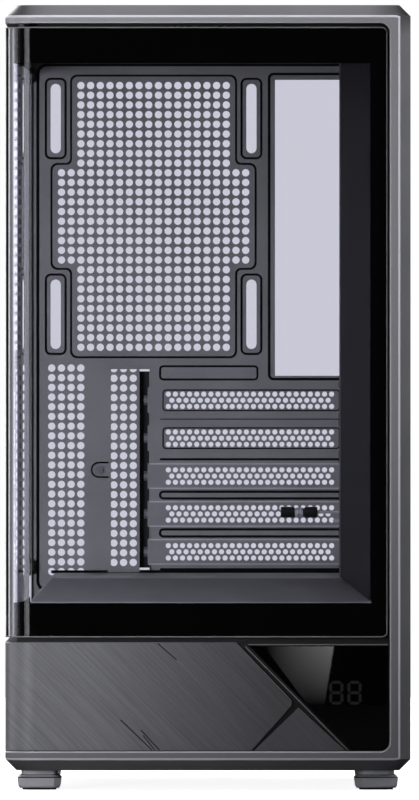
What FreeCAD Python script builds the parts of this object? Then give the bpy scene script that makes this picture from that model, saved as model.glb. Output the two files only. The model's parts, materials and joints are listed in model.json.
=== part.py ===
import FreeCAD, Part
import math
import os

# Mini tower case in millimetres. X runs to the right seen from the front, Y to the rear, Z up.
# The origin lies under the middle of the case, on the surface that the feet stand on.

Vec = FreeCAD.Vector

# Overall size
width = 210.0
depth = 380.0
height = 406.7
foot_height = 10.4

# Walls and fits
sheet = 1.0
plastic = 2.5
seat_gap = 0.3
slide_gap = 0.4

# Outer body edges
long_edge_cut = 5.8
corner_round = 15.0
rim_corner_round = 9.0

# Front frame, open to the left like a letter C
frame_depth = 26.0
rim_inset = 5.5
frame_top_bar = 9.4
frame_bottom_bar = 9.9
frame_pillar = 10.8
frame_inner_round = 5.0

# Bent glass pane
glass_thickness = 4.0
front_recess = 2.0
glass_lift = 68.9
glass_top_gap = 1.9
glass_side_gap = 1.1
glass_corner_round = 3.0
glass_rear_margin = 2.0

# Steel chassis inside the covers
chassis_inset = 6.1
floor_lift = 4.0
roof_drop = 13.7
flange_depth = 15.0
screw_head_height = 4.8
window_side = 12.4
window_head = 15.0
subframe_foot = 14.9
subframe_tab = (10.0, 16.0)
fold_rise = 6.0
floor_fold = 14.0
roof_fold = 13.0

# Power supply bay
psu_width = 150.0
psu_height = 86.0
psu_x = 0.0
psu_pad_height = 3.0
psu_pad_spread = 66.0
psu_pad_set_back = (112.9, 22.9)
psu_pad_size = (12.0, 20.0)
psu_screw_hole = 2.0
psu_screw_edge = 6.0
psu_screw_rise = 16.0
psu_screw_inset = 30.0
psu_border = 8.0
psu_opening_cut = 14.0
shroud_room = 5.1
shroud_slope_drop = 12.3
shroud_slope_run = 22.0
shroud_inset = 6.4
shroud_left_run = 10.5
shroud_slot_x = (-60.0, -10.0, 40.0)
shroud_slot_y = 26.0
shroud_slot_length = 26.0
shroud_slot_width = 12.0

# Motherboard tray and the cover over its cable openings
tray_inset = 14.2
tray_set_back = 60.0
tray_low_fold = 9.0
standoff_height = 6.5
standoff_across = 5.5
board_thread = 1.5
board_first_column = 16.5
board_columns = (0.0, 154.94, 227.33)
board_drop = 49.1
board_rows = (0.0, 45.72, 203.2)
board_low_gap = 20.0
cpu_window_size = 100.0
cpu_window_inset = 30.0
cpu_window_rise = 1.1
cable_slot_rise = 20.0
cable_slot_pitch = 80.0
cable_slot_drop = 31.0
cable_slot_height = 52.0
cable_slot_margin = 8.0
cable_slot_cover = 18.0
cover_projection = 15.7
cover_length = 118.7
tray_post_rise = 33.6
tray_post_set_back = 190.9
tray_post_length = 46.3
tray_post_steps = ((7.4, 2.9), (5.0, 2.5), (7.0, 2.9))
post_thread = 1.2

# Rear wall: 120 mm fan, connector opening and expansion slots
vent_left_gap = 15.6
vent_right_gap = 10.95
fan_drop = 92.3
fan_slot_gap = 1.7
fan_slot_length = 37.3
fan_slot_width = 5.5
vent_step = 10.5
vent_beyond_fan = 22.5
vent_step_gap = 6.25
vent_pitch = 15.6
vent_hole = 12.6
vent_border = 2.8
vent_seat = 2.0
io_inset = 48.65
io_width = 44.45
io_height = 158.75
io_drop = 128.7
slot_clearance = 11.0
slot_pitch = 20.32
first_slot_drop = 141.86
slot_cover_inset = 4.7
slot_cover_length = 111.3
slot_cover_height = 13.8
slot_opening_start = 5.8
slot_opening_end = 5.0
slot_opening_height = 11.4
slot_hole = 6.0
slot_hole_pitch = 22.0
slot_hole_row_pitch = 5.0
slot_holes_start = 2.9
slot_holes_end = 7.2
access_width = 20.7
access_above = 16.66
access_below = 9.66
screw_cover_overlap = 1.7
screw_cover_width = 17.1
screw_cover_margin = 2.8
screw_cover_lug_reach = 4.8
screw_cover_lug_round = 4.3
screw_cover_lug_cut = 1.8
screw_cover_column_pitch = 7.8
screw_cover_row_pitch = 14.0
screw_cover_hole = 6.2
side_strip_gap = 23.95
side_strip_column_pitch = 9.8
side_strip_row_pitch = 14.2
side_strip_hole = 7.6
side_strip_margin = 14.5

# Fastening of the slot covers: an ear bent rearwards lies on the ledge of the rear wall
ear_length = 5.6
ear_screw_reach = 2.9
cover_thread = 1.4
ear_hole = 1.9
screw_head_round = 2.6
screw_head_thick = 2.0
screw_reach = 2.0
lug_thread = 1.3
thumb_screw_inset = 11.0
thumb_screw_low = 29.6
thumb_screw_high = 29.3
thumb_thread = 1.9
thumb_shank = 1.6
thumb_head_round = 5.5

# Lower front: fascia, insert and display, measured from the inner edges of the frame
fascia_gap = 2.6
fascia_edge = 0.3
fascia_tip = (49.5, 25.0)
fascia_top_end = 79.6
fascia_low_end = 71.6
fascia_tip_round = 3.0
insert_tip = (47.2, 22.7)
insert_ends = (70.3, 23.2)
display_top_gap = 1.6
display_top_end = 72.9
display_low_end = 19.6
display_edge = 0.7
display_thickness = 2.0
display_round = 4.7
ledge_gap = 1.1
bezel_thickness = 2.0
rib_width = 0.9
digit_width = 7.3
digit_height = 12.3
digit_places = (27.65, 18.25)
digit_rise = 30.35
digit_stroke = 1.5
digit_thickness = 0.5
display_board_size = (23.4, 20.0)
display_board_thickness = 1.6

# Feet
foot_inset = 17.6
foot_end_distance = 45.0
foot_width = 22.8
foot_length = 40.0
foot_neck_width = 18.7
foot_pad_height = 0.9
foot_pad_width = 17.6
foot_corner_cut = 3.5
foot_shoulder = 7.6

# Buttons and sockets in the top bar, measured from the right side
power_place = 33.0
power_round = 6.0
power_travel = 1.5
reset_place = 51.0
reset_round = 3.4
reset_travel = 1.0
audio_place = 64.0
audio_round = 3.1
audio_bore = 1.8
usb_c_place = 79.0
usb_c_size = (10.0, 4.0)
usb_a_places = (97.0, 117.0)
usb_a_size = (13.6, 6.4)
usb_wall = 0.7
usb_cut = 1.2
port_recess = 0.2
port_depth = 13.0
button_sides = 20
button_stem = 2.0
io_board_drop = 15.1
io_board_thickness = 1.6
carrier_drop = 8.8
carrier_thick = 1.8
carrier_reach = (7.0, 10.0)

# Top cover and its filter
cover_skin = 2.5
filter_side = 29.0
filter_thickness = 1.5
filter_front_distance = 65.0
filter_rear_distance = 40.9
filter_rows = 9
filter_border = 10.0
filter_rib = 3.0

# A 120 mm fan can hang under the rear part of the roof, and the roof is vented over its front part too
roof_fan_y = 60.0
roof_slot_length = 14.0
roof_slot_width = 4.6
roof_vent_y = (-84.0, 60.0)
roof_vent_rows = 5
roof_vent_pitch = 20.0
roof_vent_gap = 3.5
roof_vent_across = 10.0

# Drive cage in the front of the lower bay, and the bracket for a small drive behind the tray
cage_left = -50.0
cage_width = 106.0
cage_set_back = 55.0
cage_length = 120.0
cage_height = 78.0
rail_levels = (6.0, 42.0)
rail_width = 4.0
sled_height = 26.0
sled_wall = 2.0
sled_base = 1.5
sled_front_wall = 4.0
sled_front_reach = 1.5
bracket_front_distance = 152.9
bracket_rise = 20.5
bracket_length = 112.0
bracket_height = 80.0
bracket_lip = 9.0
ssd_screw_spacing = (76.6, 61.72)
ssd_screw_first = (18.0, 9.15)
ssd_screw_hole = 1.7

# Intake filter under the power supply
psu_filter_foot_gap = 12.0
psu_filter_length = 162.9
psu_filter_drop = 2.4
psu_filter_thickness = 1.8
runner_lip = 2.0
floor_vent_rib = 4.0
floor_vent_border = 8.0
floor_vent_rows = 8
floor_vent_pitch = 15.4
floor_vent_across = 9.0
filter_pull_half = 22.0

# Ball studs that hold the pane at its printed border
stud_low_rise = 8.7
stud_high_drop = 9.4
stud_rear_low_rise = 3.2
stud_rear_high_drop = 16.9
stud_round = 1.6
ball_round = 2.3
ball_reach = 3.2
ball_length = 2.0
stud_disc = 5.0
socket_bore = 2.5
socket_round = 4.0
socket_collar = 5.5
socket_length = 5.6

# Vents of the lower left panel
side_vent_count = 12
side_vent_first = 28.0
side_vent_pitch = 11.0
side_vent_width = 4.0
side_vent_length = 28.0
side_vent_rise = 23.6

# Places worked out from the sizes above
left = -width / 2
right = width / 2
front = -depth / 2
back = depth / 2
body_bottom = foot_height
frame_back = front + frame_depth
cover_front = frame_back + seat_gap
rear_skin = seat_gap + sheet
rear_outer = back - screw_head_height - rear_skin
rear_inner = rear_outer - sheet
cover_face = rear_inner - sheet
glass_front = front + front_recess
glass_inner_front = glass_front + glass_thickness
glass_inner_left = left + glass_thickness
floor_underside = body_bottom + floor_lift
floor_top = floor_underside + sheet
roof_underside = height - roof_drop
frame_low = body_bottom + frame_bottom_bar
frame_high = height - frame_top_bar
frame_right = right - frame_pillar
glass_bottom = body_bottom + glass_lift
glass_top = frame_high - glass_top_gap
glass_right = frame_right - glass_side_gap
chassis_left = left + chassis_inset
chassis_right = right - chassis_inset
subframe_front = cover_front
subframe_back = subframe_front + sheet
window_right = chassis_right - window_side
window_top = roof_underside - window_head
shroud_top = floor_top + psu_pad_height + psu_height + shroud_room
window_bottom = shroud_top - shroud_slope_drop
shroud_left = chassis_left + shroud_inset
tray_x = chassis_right - tray_inset
tray_front = front + tray_set_back
tray_high = roof_underside - sheet - 2 * seat_gap
cover_face_x = tray_x - cover_projection
cover_rear = subframe_front + cover_length
board_top_row = roof_underside - board_drop
tray_post_y = rear_inner - tray_post_set_back
tray_post_z = shroud_top + tray_post_rise
fan_z = roof_underside - fan_drop
io_left = tray_x - io_inset
io_bottom = board_top_row - io_drop
vent_left = chassis_left + vent_left_gap
vent_right = io_left - vent_right_gap
fan_x = (vent_left + vent_right) / 2
vent_wide_half_width = (vent_right - vent_left) / 2
vent_half_width = vent_wide_half_width - vent_step
fan_hole_spacing = 2 * (vent_wide_half_width - fan_slot_gap)
vent_half_height = fan_hole_spacing / 2 + vent_beyond_fan
vent_step_half_height = (fan_hole_spacing - fan_slot_length) / 2 - vent_step_gap
first_slot_z = board_top_row - first_slot_drop
slot_count = int((first_slot_z - slot_clearance - shroud_top) / slot_pitch) + 1
slot_z = [first_slot_z - i * slot_pitch for i in range(slot_count)]
slot_cover_right = tray_x - slot_cover_inset
access_right = slot_cover_right - slot_cover_length
access_left = access_right - access_width
access_top = slot_z[0] + access_above
access_bottom = slot_z[-1] - access_below
slot_opening_left = access_right + slot_opening_start
slot_opening_right = slot_cover_right - slot_opening_end
screw_cover_left = access_left - screw_cover_overlap
screw_cover_right = screw_cover_left + screw_cover_width
screw_cover_lug_x = screw_cover_left - screw_cover_lug_reach
side_strip_x = access_left - side_strip_gap
side_strip_z = (access_top + access_bottom) / 2
side_strip_half_height = (access_top - access_bottom) / 2 + screw_cover_margin
thumb_screw_x = right - thumb_screw_inset
thumb_screw_z = (body_bottom + thumb_screw_low, frame_high - thumb_screw_high)
fascia_top = glass_bottom - fascia_gap
fascia_bottom = frame_low + fascia_edge
display_top = fascia_top - display_top_gap
display_right = frame_right - display_edge
ledge_top = glass_bottom - ledge_gap
fascia_inner = glass_front + plastic
digit_centres = [frame_right - place for place in digit_places]
digit_z = frame_low + digit_rise
digit_front = glass_front + display_thickness + 0.1
foot_x = right - foot_inset
foot_y = back - foot_end_distance
foot_neck_edge = foot_x + foot_neck_width / 2
top_row_y = (front + rim_inset + frame_back) / 2
power_x = right - power_place
reset_x = right - reset_place
audio_x = right - audio_place
usb_c_x = right - usb_c_place
usb_a_x = [right - place for place in usb_a_places]
port_top = height - port_recess
port_low = port_top - port_depth - 1.9
io_board_top = height - io_board_drop
carrier_low = height - carrier_drop
filter_half = width / 2 - filter_side
filter_front = front + filter_front_distance
filter_back = rear_outer - filter_rear_distance
cage_front = front + cage_set_back
psu_filter_half = foot_x - foot_width / 2 - psu_filter_foot_gap
psu_filter_front = rear_inner - psu_filter_length
psu_filter_low = floor_underside - psu_filter_drop
ear_screw_y = rear_outer + ear_screw_reach
stud_front_y = subframe_front + flange_depth / 2
stud_rear_y = rear_inner - flange_depth / 2
front_stud_z = (glass_bottom + stud_low_rise, glass_top - stud_high_drop)
rear_stud_z = (shroud_top + stud_rear_low_rise, roof_underside - stud_rear_high_drop)


def box(x0, x1, y0, y1, z0, z1):
    return Part.makeBox(x1 - x0, y1 - y0, z1 - z0, Vec(x0, y0, z0))


def at(axis, a, b, along):
    if axis == "x":
        return Vec(along, a, b)
    if axis == "y":
        return Vec(a, along, b)
    return Vec(a, b, along)


def direction(axis, length):
    return at(axis, 0, 0, length)


def polygon(points, axis, along):
    corners = [at(axis, a, b, along) for a, b in points]
    return Part.makePolygon(corners + corners[:1])


def prism(points, axis, start, end):
    return Part.Face(polygon(points, axis, start)).extrude(direction(axis, end - start))


def ring(a, b, radius, sides):
    # Corners of a regular outline with this many sides.
    turns = [math.pi * (2 * i + 1) / sides for i in range(sides)]
    return [(a + radius * math.cos(t), b + radius * math.sin(t)) for t in turns]


def hexagon(a, b, across):
    return ring(a, b, across / math.sqrt(3), 6)


def peg(axis, a, b, start, end, radius, sides=8):
    # A small rod with few sides.
    return prism(ring(a, b, radius, sides), axis, start, end)


def count_between(room, hole, pitch):
    # How many holes of this size and pitch fit into a length.
    return int((room - hole) / pitch) + 1


def cut_rectangle(a0, a1, b0, b1, cut):
    return [(a0 + cut, b0), (a1 - cut, b0), (a1, b0 + cut), (a1, b1 - cut), (a1 - cut, b1), (a0 + cut, b1),
            (a0, b1 - cut), (a0, b0 + cut)]


def rectangle(a0, a1, b0, b1):
    return [(a0, b0), (a1, b0), (a1, b1), (a0, b1)]


def slot_wire(a, b, length, across, axis, along, upright):
    # A long hole with round ends, its length along the second direction when upright.
    half = across / 2
    reach = length / 2 - half
    if upright:
        spots = [(-half, -reach), (0, -reach - half), (half, -reach), (half, reach), (0, reach + half), (-half, reach)]
    else:
        spots = [(-reach, half), (-reach - half, 0), (-reach, -half), (reach, -half), (reach + half, 0), (reach, half)]
    points = [at(axis, a + da, b + db, along) for da, db in spots]
    first_end = Part.Arc(points[0], points[1], points[2]).toShape()
    second_end = Part.Arc(points[3], points[4], points[5]).toShape()
    sides = [Part.makeLine(points[2], points[3]), Part.makeLine(points[5], points[0])]
    return Part.Wire([first_end, sides[0], second_end, sides[1]])


def circle_wire(a, b, radius, axis, along):
    return Part.Wire(Part.makeCircle(radius, at(axis, a, b, along), direction(axis, 1)))


def pierced(outline, holes, axis, start, end):
    # A flat sheet cut to an outline, with holes given as wires.
    wires = [polygon(outline, axis, start)] + holes
    face = Part.makeFace(wires, "Part::FaceMakerBullseye")
    return face.extrude(direction(axis, end - start))


def joined(pieces):
    return pieces[0].fuse(pieces[1:]).removeSplitter()


def export(name, shape):
    shape.exportStep("parts/" + name + ".step")
    print(name, len(shape.Solids), round(shape.Volume / 1000, 2), shape.isValid())


def body_block(y0, y1):
    # The outer form: long edges cut at 45 degrees, front left edge round, front right edge cut.
    arc_mid = corner_round * (1 - math.sqrt(0.5))
    points = [(left, y1), (left, front + corner_round), (left + arc_mid, front + arc_mid),
              (left + corner_round, front), (right - long_edge_cut, front), (right, front + long_edge_cut),
              (right, y1)]
    spots = [Vec(x, y, body_bottom) for x, y in points]
    edges = [Part.makeLine(spots[0], spots[1]), Part.Arc(spots[1], spots[2], spots[3]).toShape(),
             Part.makeLine(spots[3], spots[4]), Part.makeLine(spots[4], spots[5]),
             Part.makeLine(spots[5], spots[6]), Part.makeLine(spots[6], spots[0])]
    block = Part.Face(Part.Wire(edges)).extrude(Vec(0, 0, height - body_bottom))
    rims = []
    for edge in block.Edges:
        middle = edge.CenterOfMass
        level = abs(middle.z - body_bottom) < 0.01 or abs(middle.z - height) < 0.01
        if level and middle.y < y1 - 0.01:
            rims.append(edge)
    return block.makeChamfer(long_edge_cut, rims).common(box(left, right, y0, y1, body_bottom, height))


def round_mitres(block):
    # The front bevel turns the two right-hand corners in a soft curve.
    mitres = []
    for edge in block.Edges:
        run = edge.Vertexes[-1].Point - edge.Vertexes[0].Point
        middle = edge.CenterOfMass
        slanted = min(abs(run.x), abs(run.y), abs(run.z)) > 0.5
        if slanted and middle.x > 0 and middle.y < front + long_edge_cut:
            mitres.append(edge)
    return block.makeFillet(rim_corner_round, mitres)


def frame_opening(grow):
    # The space inside the C, open to the left, with its two right-hand corners round.
    opening = box(left - 1, frame_right + grow, front - 1, frame_back + 1, frame_low - grow, frame_high + grow)
    corners = [e for e in opening.Edges
               if abs(e.tangentAt(0).y) > 0.99 and e.CenterOfMass.x > 0]
    return opening.makeFillet(frame_inner_round + grow, corners)


def front_frame():
    block = round_mitres(body_block(front, frame_back)).cut(frame_opening(0))
    front_wall = front + rim_inset + 1.0
    end = left + corner_round
    top_channel = box(end, frame_right - 2, front_wall, frame_back, frame_high - 1, height - plastic)
    bottom_channel = box(end, frame_right - 2, front_wall, frame_back, body_bottom + plastic, frame_low + 1)
    side_channel = box(frame_right + plastic, right - plastic, front_wall, frame_back + 1,
                       frame_low + 6, frame_high - 6)
    block = block.cut([top_channel, bottom_channel, side_channel])
    holes = [peg("z", power_x, top_row_y, height - 5, height + 1, power_round + seat_gap, button_sides),
             peg("z", reset_x, top_row_y, height - 5, height + 1, reset_round + seat_gap, button_sides),
             peg("z", audio_x, top_row_y, height - 5, height + 1, audio_round + seat_gap, button_sides),
             usb_c_block(height - 5, height + 1, seat_gap)]
    for x in usb_a_x:
        holes.append(usb_a_block(x, height - 5, height + 1, seat_gap))
    return block.cut(holes)


def usb_a_block(x, z0, z1, grow):
    half_x = usb_a_size[0] / 2 + grow
    half_y = usb_a_size[1] / 2 + grow
    return box(x - half_x, x + half_x, top_row_y - half_y, top_row_y + half_y, z0, z1)


def usb_c_block(z0, z1, grow):
    half_x = usb_c_size[0] / 2 + grow
    half_y = usb_c_size[1] / 2 + grow
    outline = cut_rectangle(usb_c_x - half_x, usb_c_x + half_x, top_row_y - half_y, top_row_y + half_y, usb_cut)
    return prism(outline, "z", z0, z1)


def front_subframe():
    low = floor_top + seat_gap
    high = roof_underside - seat_gap
    sill = window_bottom - 1
    fold = subframe_front + flange_depth
    outline = [(chassis_left, low), (chassis_right, low), (chassis_right, high), (chassis_left, high),
               (chassis_left, window_top), (window_right, window_top), (window_right, sill), (chassis_left, sill)]
    pieces = [prism(outline, "y", subframe_front, subframe_back),
              box(chassis_left + 4, chassis_left + 4 + subframe_foot, subframe_front, fold - 3, low, low + sheet),
              box(cage_left + subframe_tab[0], cage_left + cage_width - subframe_tab[1], subframe_front,
                  subframe_back + seat_gap, low, low + sheet),
              box(chassis_left, chassis_right, subframe_front, fold, high - sheet, high),
              box(chassis_left, chassis_left + sheet, subframe_front, fold, fascia_top + 3, sill),
              box(chassis_left, chassis_left + sheet, subframe_front, fold, window_top, high),
              box(chassis_right - sheet, chassis_right, subframe_front, fold, low + floor_fold + 6, high)]
    return joined(pieces).cut(socket_holes(stud_front_y, front_stud_z))


def bent_skin(thickness, end_x, end_y, low, high):
    # A skin bent round the front left corner: along the front to end_x, along the left side to end_y.
    inner_front = glass_front + thickness
    inner_left = left + thickness
    inner_round = corner_round - thickness
    outer_mid = corner_round * (1 - math.sqrt(0.5))
    inner_mid = inner_round * (1 - math.sqrt(0.5))
    spots = [(left, end_y), (left, glass_front + corner_round), (left + outer_mid, glass_front + outer_mid),
             (left + corner_round, glass_front), (end_x, glass_front), (end_x, inner_front),
             (inner_left + inner_round, inner_front), (inner_left + inner_mid, inner_front + inner_mid),
             (inner_left, inner_front + inner_round), (inner_left, end_y)]
    p = [Vec(x, y, low) for x, y in spots]
    edges = [Part.makeLine(p[0], p[1]), Part.Arc(p[1], p[2], p[3]).toShape(), Part.makeLine(p[3], p[4]),
             Part.makeLine(p[4], p[5]), Part.makeLine(p[5], p[6]), Part.Arc(p[6], p[7], p[8]).toShape(),
             Part.makeLine(p[8], p[9]), Part.makeLine(p[9], p[0])]
    return Part.Face(Part.Wire(edges)).extrude(Vec(0, 0, high - low))


def glass_panel():
    pane = bent_skin(glass_thickness, glass_right, rear_outer - glass_rear_margin, glass_bottom, glass_top)
    corners = []
    for edge in pane.Edges:
        middle = edge.CenterOfMass
        run = abs(edge.tangentAt(edge.FirstParameter).y)
        if run > 0.99 and middle.x > glass_right - 1:
            corners.append(edge)
    return pane.makeFillet(glass_corner_round, corners)


def stud_spots():
    return [(stud_front_y, z) for z in front_stud_z] + [(stud_rear_y, z) for z in rear_stud_z]


def socket_holes(y, levels):
    return [peg("x", y, z, chassis_left - 1, chassis_left + sheet + 1, socket_round) for z in levels]


def glass_studs():
    studs = []
    for y, z in stud_spots():
        disc = peg("x", y, z, glass_inner_left, chassis_left - seat_gap, stud_disc)
        pin = peg("x", y, z, glass_inner_left, chassis_left + ball_reach, stud_round, 6)
        ball = peg("x", y, z, chassis_left + ball_reach - ball_length / 2,
                   chassis_left + ball_reach + ball_length / 2, ball_round, 6)
        studs.append(joined([disc, pin, ball]))
    return Part.makeCompound(studs)


def stud_sockets():
    sockets = []
    for y, z in stud_spots():
        body = peg("x", y, z, chassis_left, chassis_left + socket_length, socket_round)
        collar = peg("x", y, z, chassis_left + sheet, chassis_left + 2 * sheet, socket_collar)
        bore = peg("x", y, z, chassis_left - 1, chassis_left + socket_length + 1, socket_bore)
        sockets.append(body.fuse(collar).cut(bore))
    return Part.makeCompound(sockets)


def spread(count, pitch):
    # Evenly spaced places about zero.
    return [(i - (count - 1) / 2) * pitch for i in range(count)]


def floor_vent_holes(across, z):
    middle = (psu_filter_front + rear_inner) / 2
    end = psu_filter_half - floor_vent_border
    holes = []
    for x0, x1 in ((-end, -floor_vent_rib), (floor_vent_rib, end)):
        for offset in spread(floor_vent_rows, floor_vent_pitch):
            y = middle + offset
            holes.append(polygon(rectangle(x0, x1, y - across / 2, y + across / 2), "z", z))
    return holes


def chassis_floor():
    outline = rectangle(chassis_left, chassis_right, subframe_back, rear_outer)
    plate = pierced(outline, floor_vent_holes(floor_vent_across, floor_underside), "z", floor_underside, floor_top)
    front_fold = subframe_front + flange_depth + 1
    rear_fold = rear_inner - flange_depth - 1
    fold_top = floor_top + floor_fold
    pieces = [plate,
              box(chassis_left, chassis_left + sheet, front_fold, rear_fold, floor_underside, fold_top),
              box(chassis_right - sheet, chassis_right, front_fold, rear_fold, floor_underside, fold_top)]
    low = psu_filter_low - seat_gap
    for side in (-1, 1):
        inner = side * (psu_filter_half + seat_gap)
        outer = side * (psu_filter_half + seat_gap + sheet)
        lip = side * (psu_filter_half - runner_lip)
        x0, x1 = sorted((inner, outer))
        pieces.append(box(x0, x1, psu_filter_front - 2, rear_inner, low - sheet, floor_top))
        x0, x1 = sorted((lip, outer))
        pieces.append(box(x0, x1, psu_filter_front - 2, rear_inner, low - sheet, low))
    return joined(pieces)


def psu_dust_filter():
    outline = rectangle(-psu_filter_half, psu_filter_half, psu_filter_front, rear_outer)
    high = psu_filter_low + psu_filter_thickness
    holes = floor_vent_holes(floor_vent_pitch - 2, psu_filter_low)
    plate = pierced(outline, holes, "z", psu_filter_low, high)
    pull = box(-filter_pull_half, filter_pull_half, rear_outer - 0.5, back - 1, psu_filter_low - 1, high)
    return joined([plate, pull])


def vent_outline(inset):
    # A cross-like plate: it is wider level with the fan's middle.
    narrow = vent_half_width - inset
    wide = vent_wide_half_width - inset
    tall = vent_half_height - inset
    step = vent_step_half_height - inset
    points = [(-narrow, -tall), (narrow, -tall), (narrow, -step), (wide, -step), (wide, step), (narrow, step),
              (narrow, tall), (-narrow, tall), (-narrow, step), (-wide, step), (-wide, -step), (-narrow, -step)]
    return [(fan_x + a, fan_z + b) for a, b in points]


def rear_vent_grille():
    holes = []
    hole_height = vent_hole * 2 / math.sqrt(3)
    rows = count_between(2 * (vent_half_height - vent_border), hole_height, vent_pitch)
    for level in spread(rows, vent_pitch):
        wide = abs(level) + hole_height / 2 + vent_border < vent_step_half_height
        half = vent_wide_half_width if wide else vent_half_width
        columns = count_between(2 * (half - vent_border), vent_hole, vent_pitch)
        for offset in spread(columns, vent_pitch):
            holes.append(polygon(hexagon(fan_x + offset, fan_z + level, vent_hole), "y", cover_face))
    return pierced(vent_outline(0), holes, "y", cover_face, rear_inner)


def psu_screw_spots():
    # The four screws of a standard power supply, from its lower left corner seen from the front.
    low = floor_top + psu_pad_height
    x0 = psu_x - psu_width / 2 + psu_screw_edge
    x1 = psu_x + psu_width / 2
    high = low + psu_height - psu_screw_edge
    return [(x0, low + psu_screw_rise), (x0, high), (x1 - psu_screw_edge, high),
            (x1 - psu_screw_inset, low + psu_screw_edge)]


def psu_opening():
    x0 = psu_x - psu_width / 2 + psu_border
    x1 = psu_x + psu_width / 2 - psu_border
    low = floor_top + psu_pad_height + psu_border
    high = floor_top + psu_pad_height + psu_height - psu_border
    cut = psu_opening_cut
    return [(x0, low + cut), (x0 + cut, low), (x1 - 2 * cut, low), (x1, low + cut),
            (x1, high - cut), (x1 - cut, high), (x0 + cut, high), (x0, high - cut)]


def rear_panel_holes(y):
    holes = [polygon(vent_outline(vent_seat), "y", y), polygon(psu_opening(), "y", y)]
    for side in (-1, 1):
        for level in (-1, 1):
            x = fan_x + side * fan_hole_spacing / 2
            z = fan_z + level * fan_hole_spacing / 2
            holes.append(slot_wire(x, z, fan_slot_length, fan_slot_width, "y", y, True))
    holes.append(polygon(rectangle(io_left, io_left + io_width, io_bottom, io_bottom + io_height), "y", y))
    half = slot_opening_height / 2
    for z in slot_z:
        holes.append(polygon(rectangle(slot_opening_left, slot_opening_right, z - half, z + half), "y", y))
    holes.append(polygon(rectangle(access_left, access_right, access_bottom, access_top), "y", y))
    rows = count_between(2 * side_strip_half_height, side_strip_hole * 2 / math.sqrt(3), side_strip_row_pitch)
    room = access_left - chassis_left - 2 * side_strip_margin
    columns = count_between(room, side_strip_hole, side_strip_column_pitch)
    for level in spread(rows, side_strip_row_pitch):
        for offset in spread(columns, side_strip_column_pitch):
            outline = hexagon(side_strip_x + offset, side_strip_z + level, side_strip_hole)
            holes.append(polygon(outline, "y", y))
    for x, z in psu_screw_spots():
        holes.append(circle_wire(x, z, psu_screw_hole, "y", y))
    for z in thumb_screw_z:
        holes.append(polygon(ring(thumb_screw_x, z, thumb_thread, 8), "y", y))
    holes.append(polygon(ring(screw_cover_lug_x, side_strip_z, lug_thread, 6), "y", y))
    return holes


def rear_panel():
    low = floor_top + seat_gap
    high = roof_underside - seat_gap
    outline = rectangle(chassis_left, chassis_right, low, high)
    plate = pierced(outline, rear_panel_holes(rear_inner), "y", rear_inner, rear_outer)
    fold = rear_inner - flange_depth
    ledge_x = access_right
    pieces = [plate,
              box(chassis_left, chassis_left + sheet, fold, rear_outer, low + fold_rise, high),
              box(chassis_right - sheet, chassis_right, fold, rear_outer, low + fold_rise, high),
              box(chassis_left, chassis_right, fold, rear_outer, high - sheet, high),
              box(ledge_x, ledge_x + sheet, rear_inner, rear_outer + ear_length, access_bottom, access_top)]
    cuts = socket_holes(stud_rear_y, rear_stud_z)
    for z in slot_z:
        cuts.append(peg("x", ear_screw_y, z, ledge_x - 1, ledge_x + sheet + 1, cover_thread, 6))
    return joined(pieces).cut(cuts)


def slot_cover(z):
    holes_left = slot_opening_left + slot_holes_start
    holes_right = slot_opening_right - slot_holes_end
    middle = (holes_left + holes_right) / 2
    first_row = count_between(holes_right - holes_left, slot_hole, slot_hole_pitch)
    holes = []
    for count, level in zip((first_row, first_row - 1), spread(2, slot_hole_row_pitch)):
        for offset in spread(count, slot_hole_pitch):
            holes.append(polygon(hexagon(middle + offset, z + level, slot_hole), "y", cover_face))
    half = slot_cover_height / 2
    ear_x = access_right - sheet
    plate = pierced(rectangle(ear_x, slot_cover_right, z - half, z + half), holes, "y", cover_face, rear_inner)
    ear = box(ear_x, access_right, cover_face, rear_outer + ear_length, z - half, z + half)
    notch = box(ear_x - 1, access_right + 1, ear_screw_y - ear_hole, back, z - ear_hole, z + ear_hole)
    return joined([plate, ear]).cut(notch)


def slot_cover_screws():
    screws = []
    head_x = access_right - sheet
    for z in slot_z:
        head = peg("x", ear_screw_y, z, head_x - screw_head_thick, head_x, screw_head_round, 6)
        shank = peg("x", ear_screw_y, z, head_x - 1, access_right + sheet + screw_reach, cover_thread, 6)
        screws.append(joined([head, shank]))
    return Part.makeCompound(screws)


def slot_screw_cover():
    middle = (screw_cover_left + screw_cover_right) / 2
    hole_height = screw_cover_hole * 2 / math.sqrt(3)
    rows = count_between(2 * side_strip_half_height, hole_height, screw_cover_row_pitch)
    holes = []
    for level in spread(rows, screw_cover_row_pitch):
        for offset in spread(2, screw_cover_column_pitch):
            outline = hexagon(middle + offset, side_strip_z + level, screw_cover_hole)
            holes.append(polygon(outline, "y", cover_face))
    low = shroud_top + seat_gap
    high = side_strip_z + side_strip_half_height + 1
    plate = pierced(rectangle(screw_cover_left, screw_cover_right, low, high), holes, "y", cover_face, rear_inner)
    lug_left = screw_cover_lug_x - screw_cover_lug_round
    lug_low = side_strip_z - screw_cover_lug_round
    lug_high = side_strip_z + screw_cover_lug_round
    cut = screw_cover_lug_cut
    lug_end = screw_cover_left + 1
    lug_outline = [(lug_end, lug_low), (lug_end, lug_high), (lug_left + cut, lug_high), (lug_left, lug_high - cut),
                   (lug_left, lug_low + cut), (lug_left + cut, lug_low)]
    lug = prism(lug_outline, "y", cover_face, rear_inner)
    hole = peg("y", screw_cover_lug_x, side_strip_z, cover_face - 1, rear_inner + 1, ear_hole, 6)
    return joined([plate, lug]).cut(hole)


def screw_cover_screw():
    head = peg("y", screw_cover_lug_x, side_strip_z, cover_face - screw_head_thick, cover_face, screw_head_round)
    shank = peg("y", screw_cover_lug_x, side_strip_z, cover_face - 1, rear_outer + 1, lug_thread, 6)
    return joined([head, shank])


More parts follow.
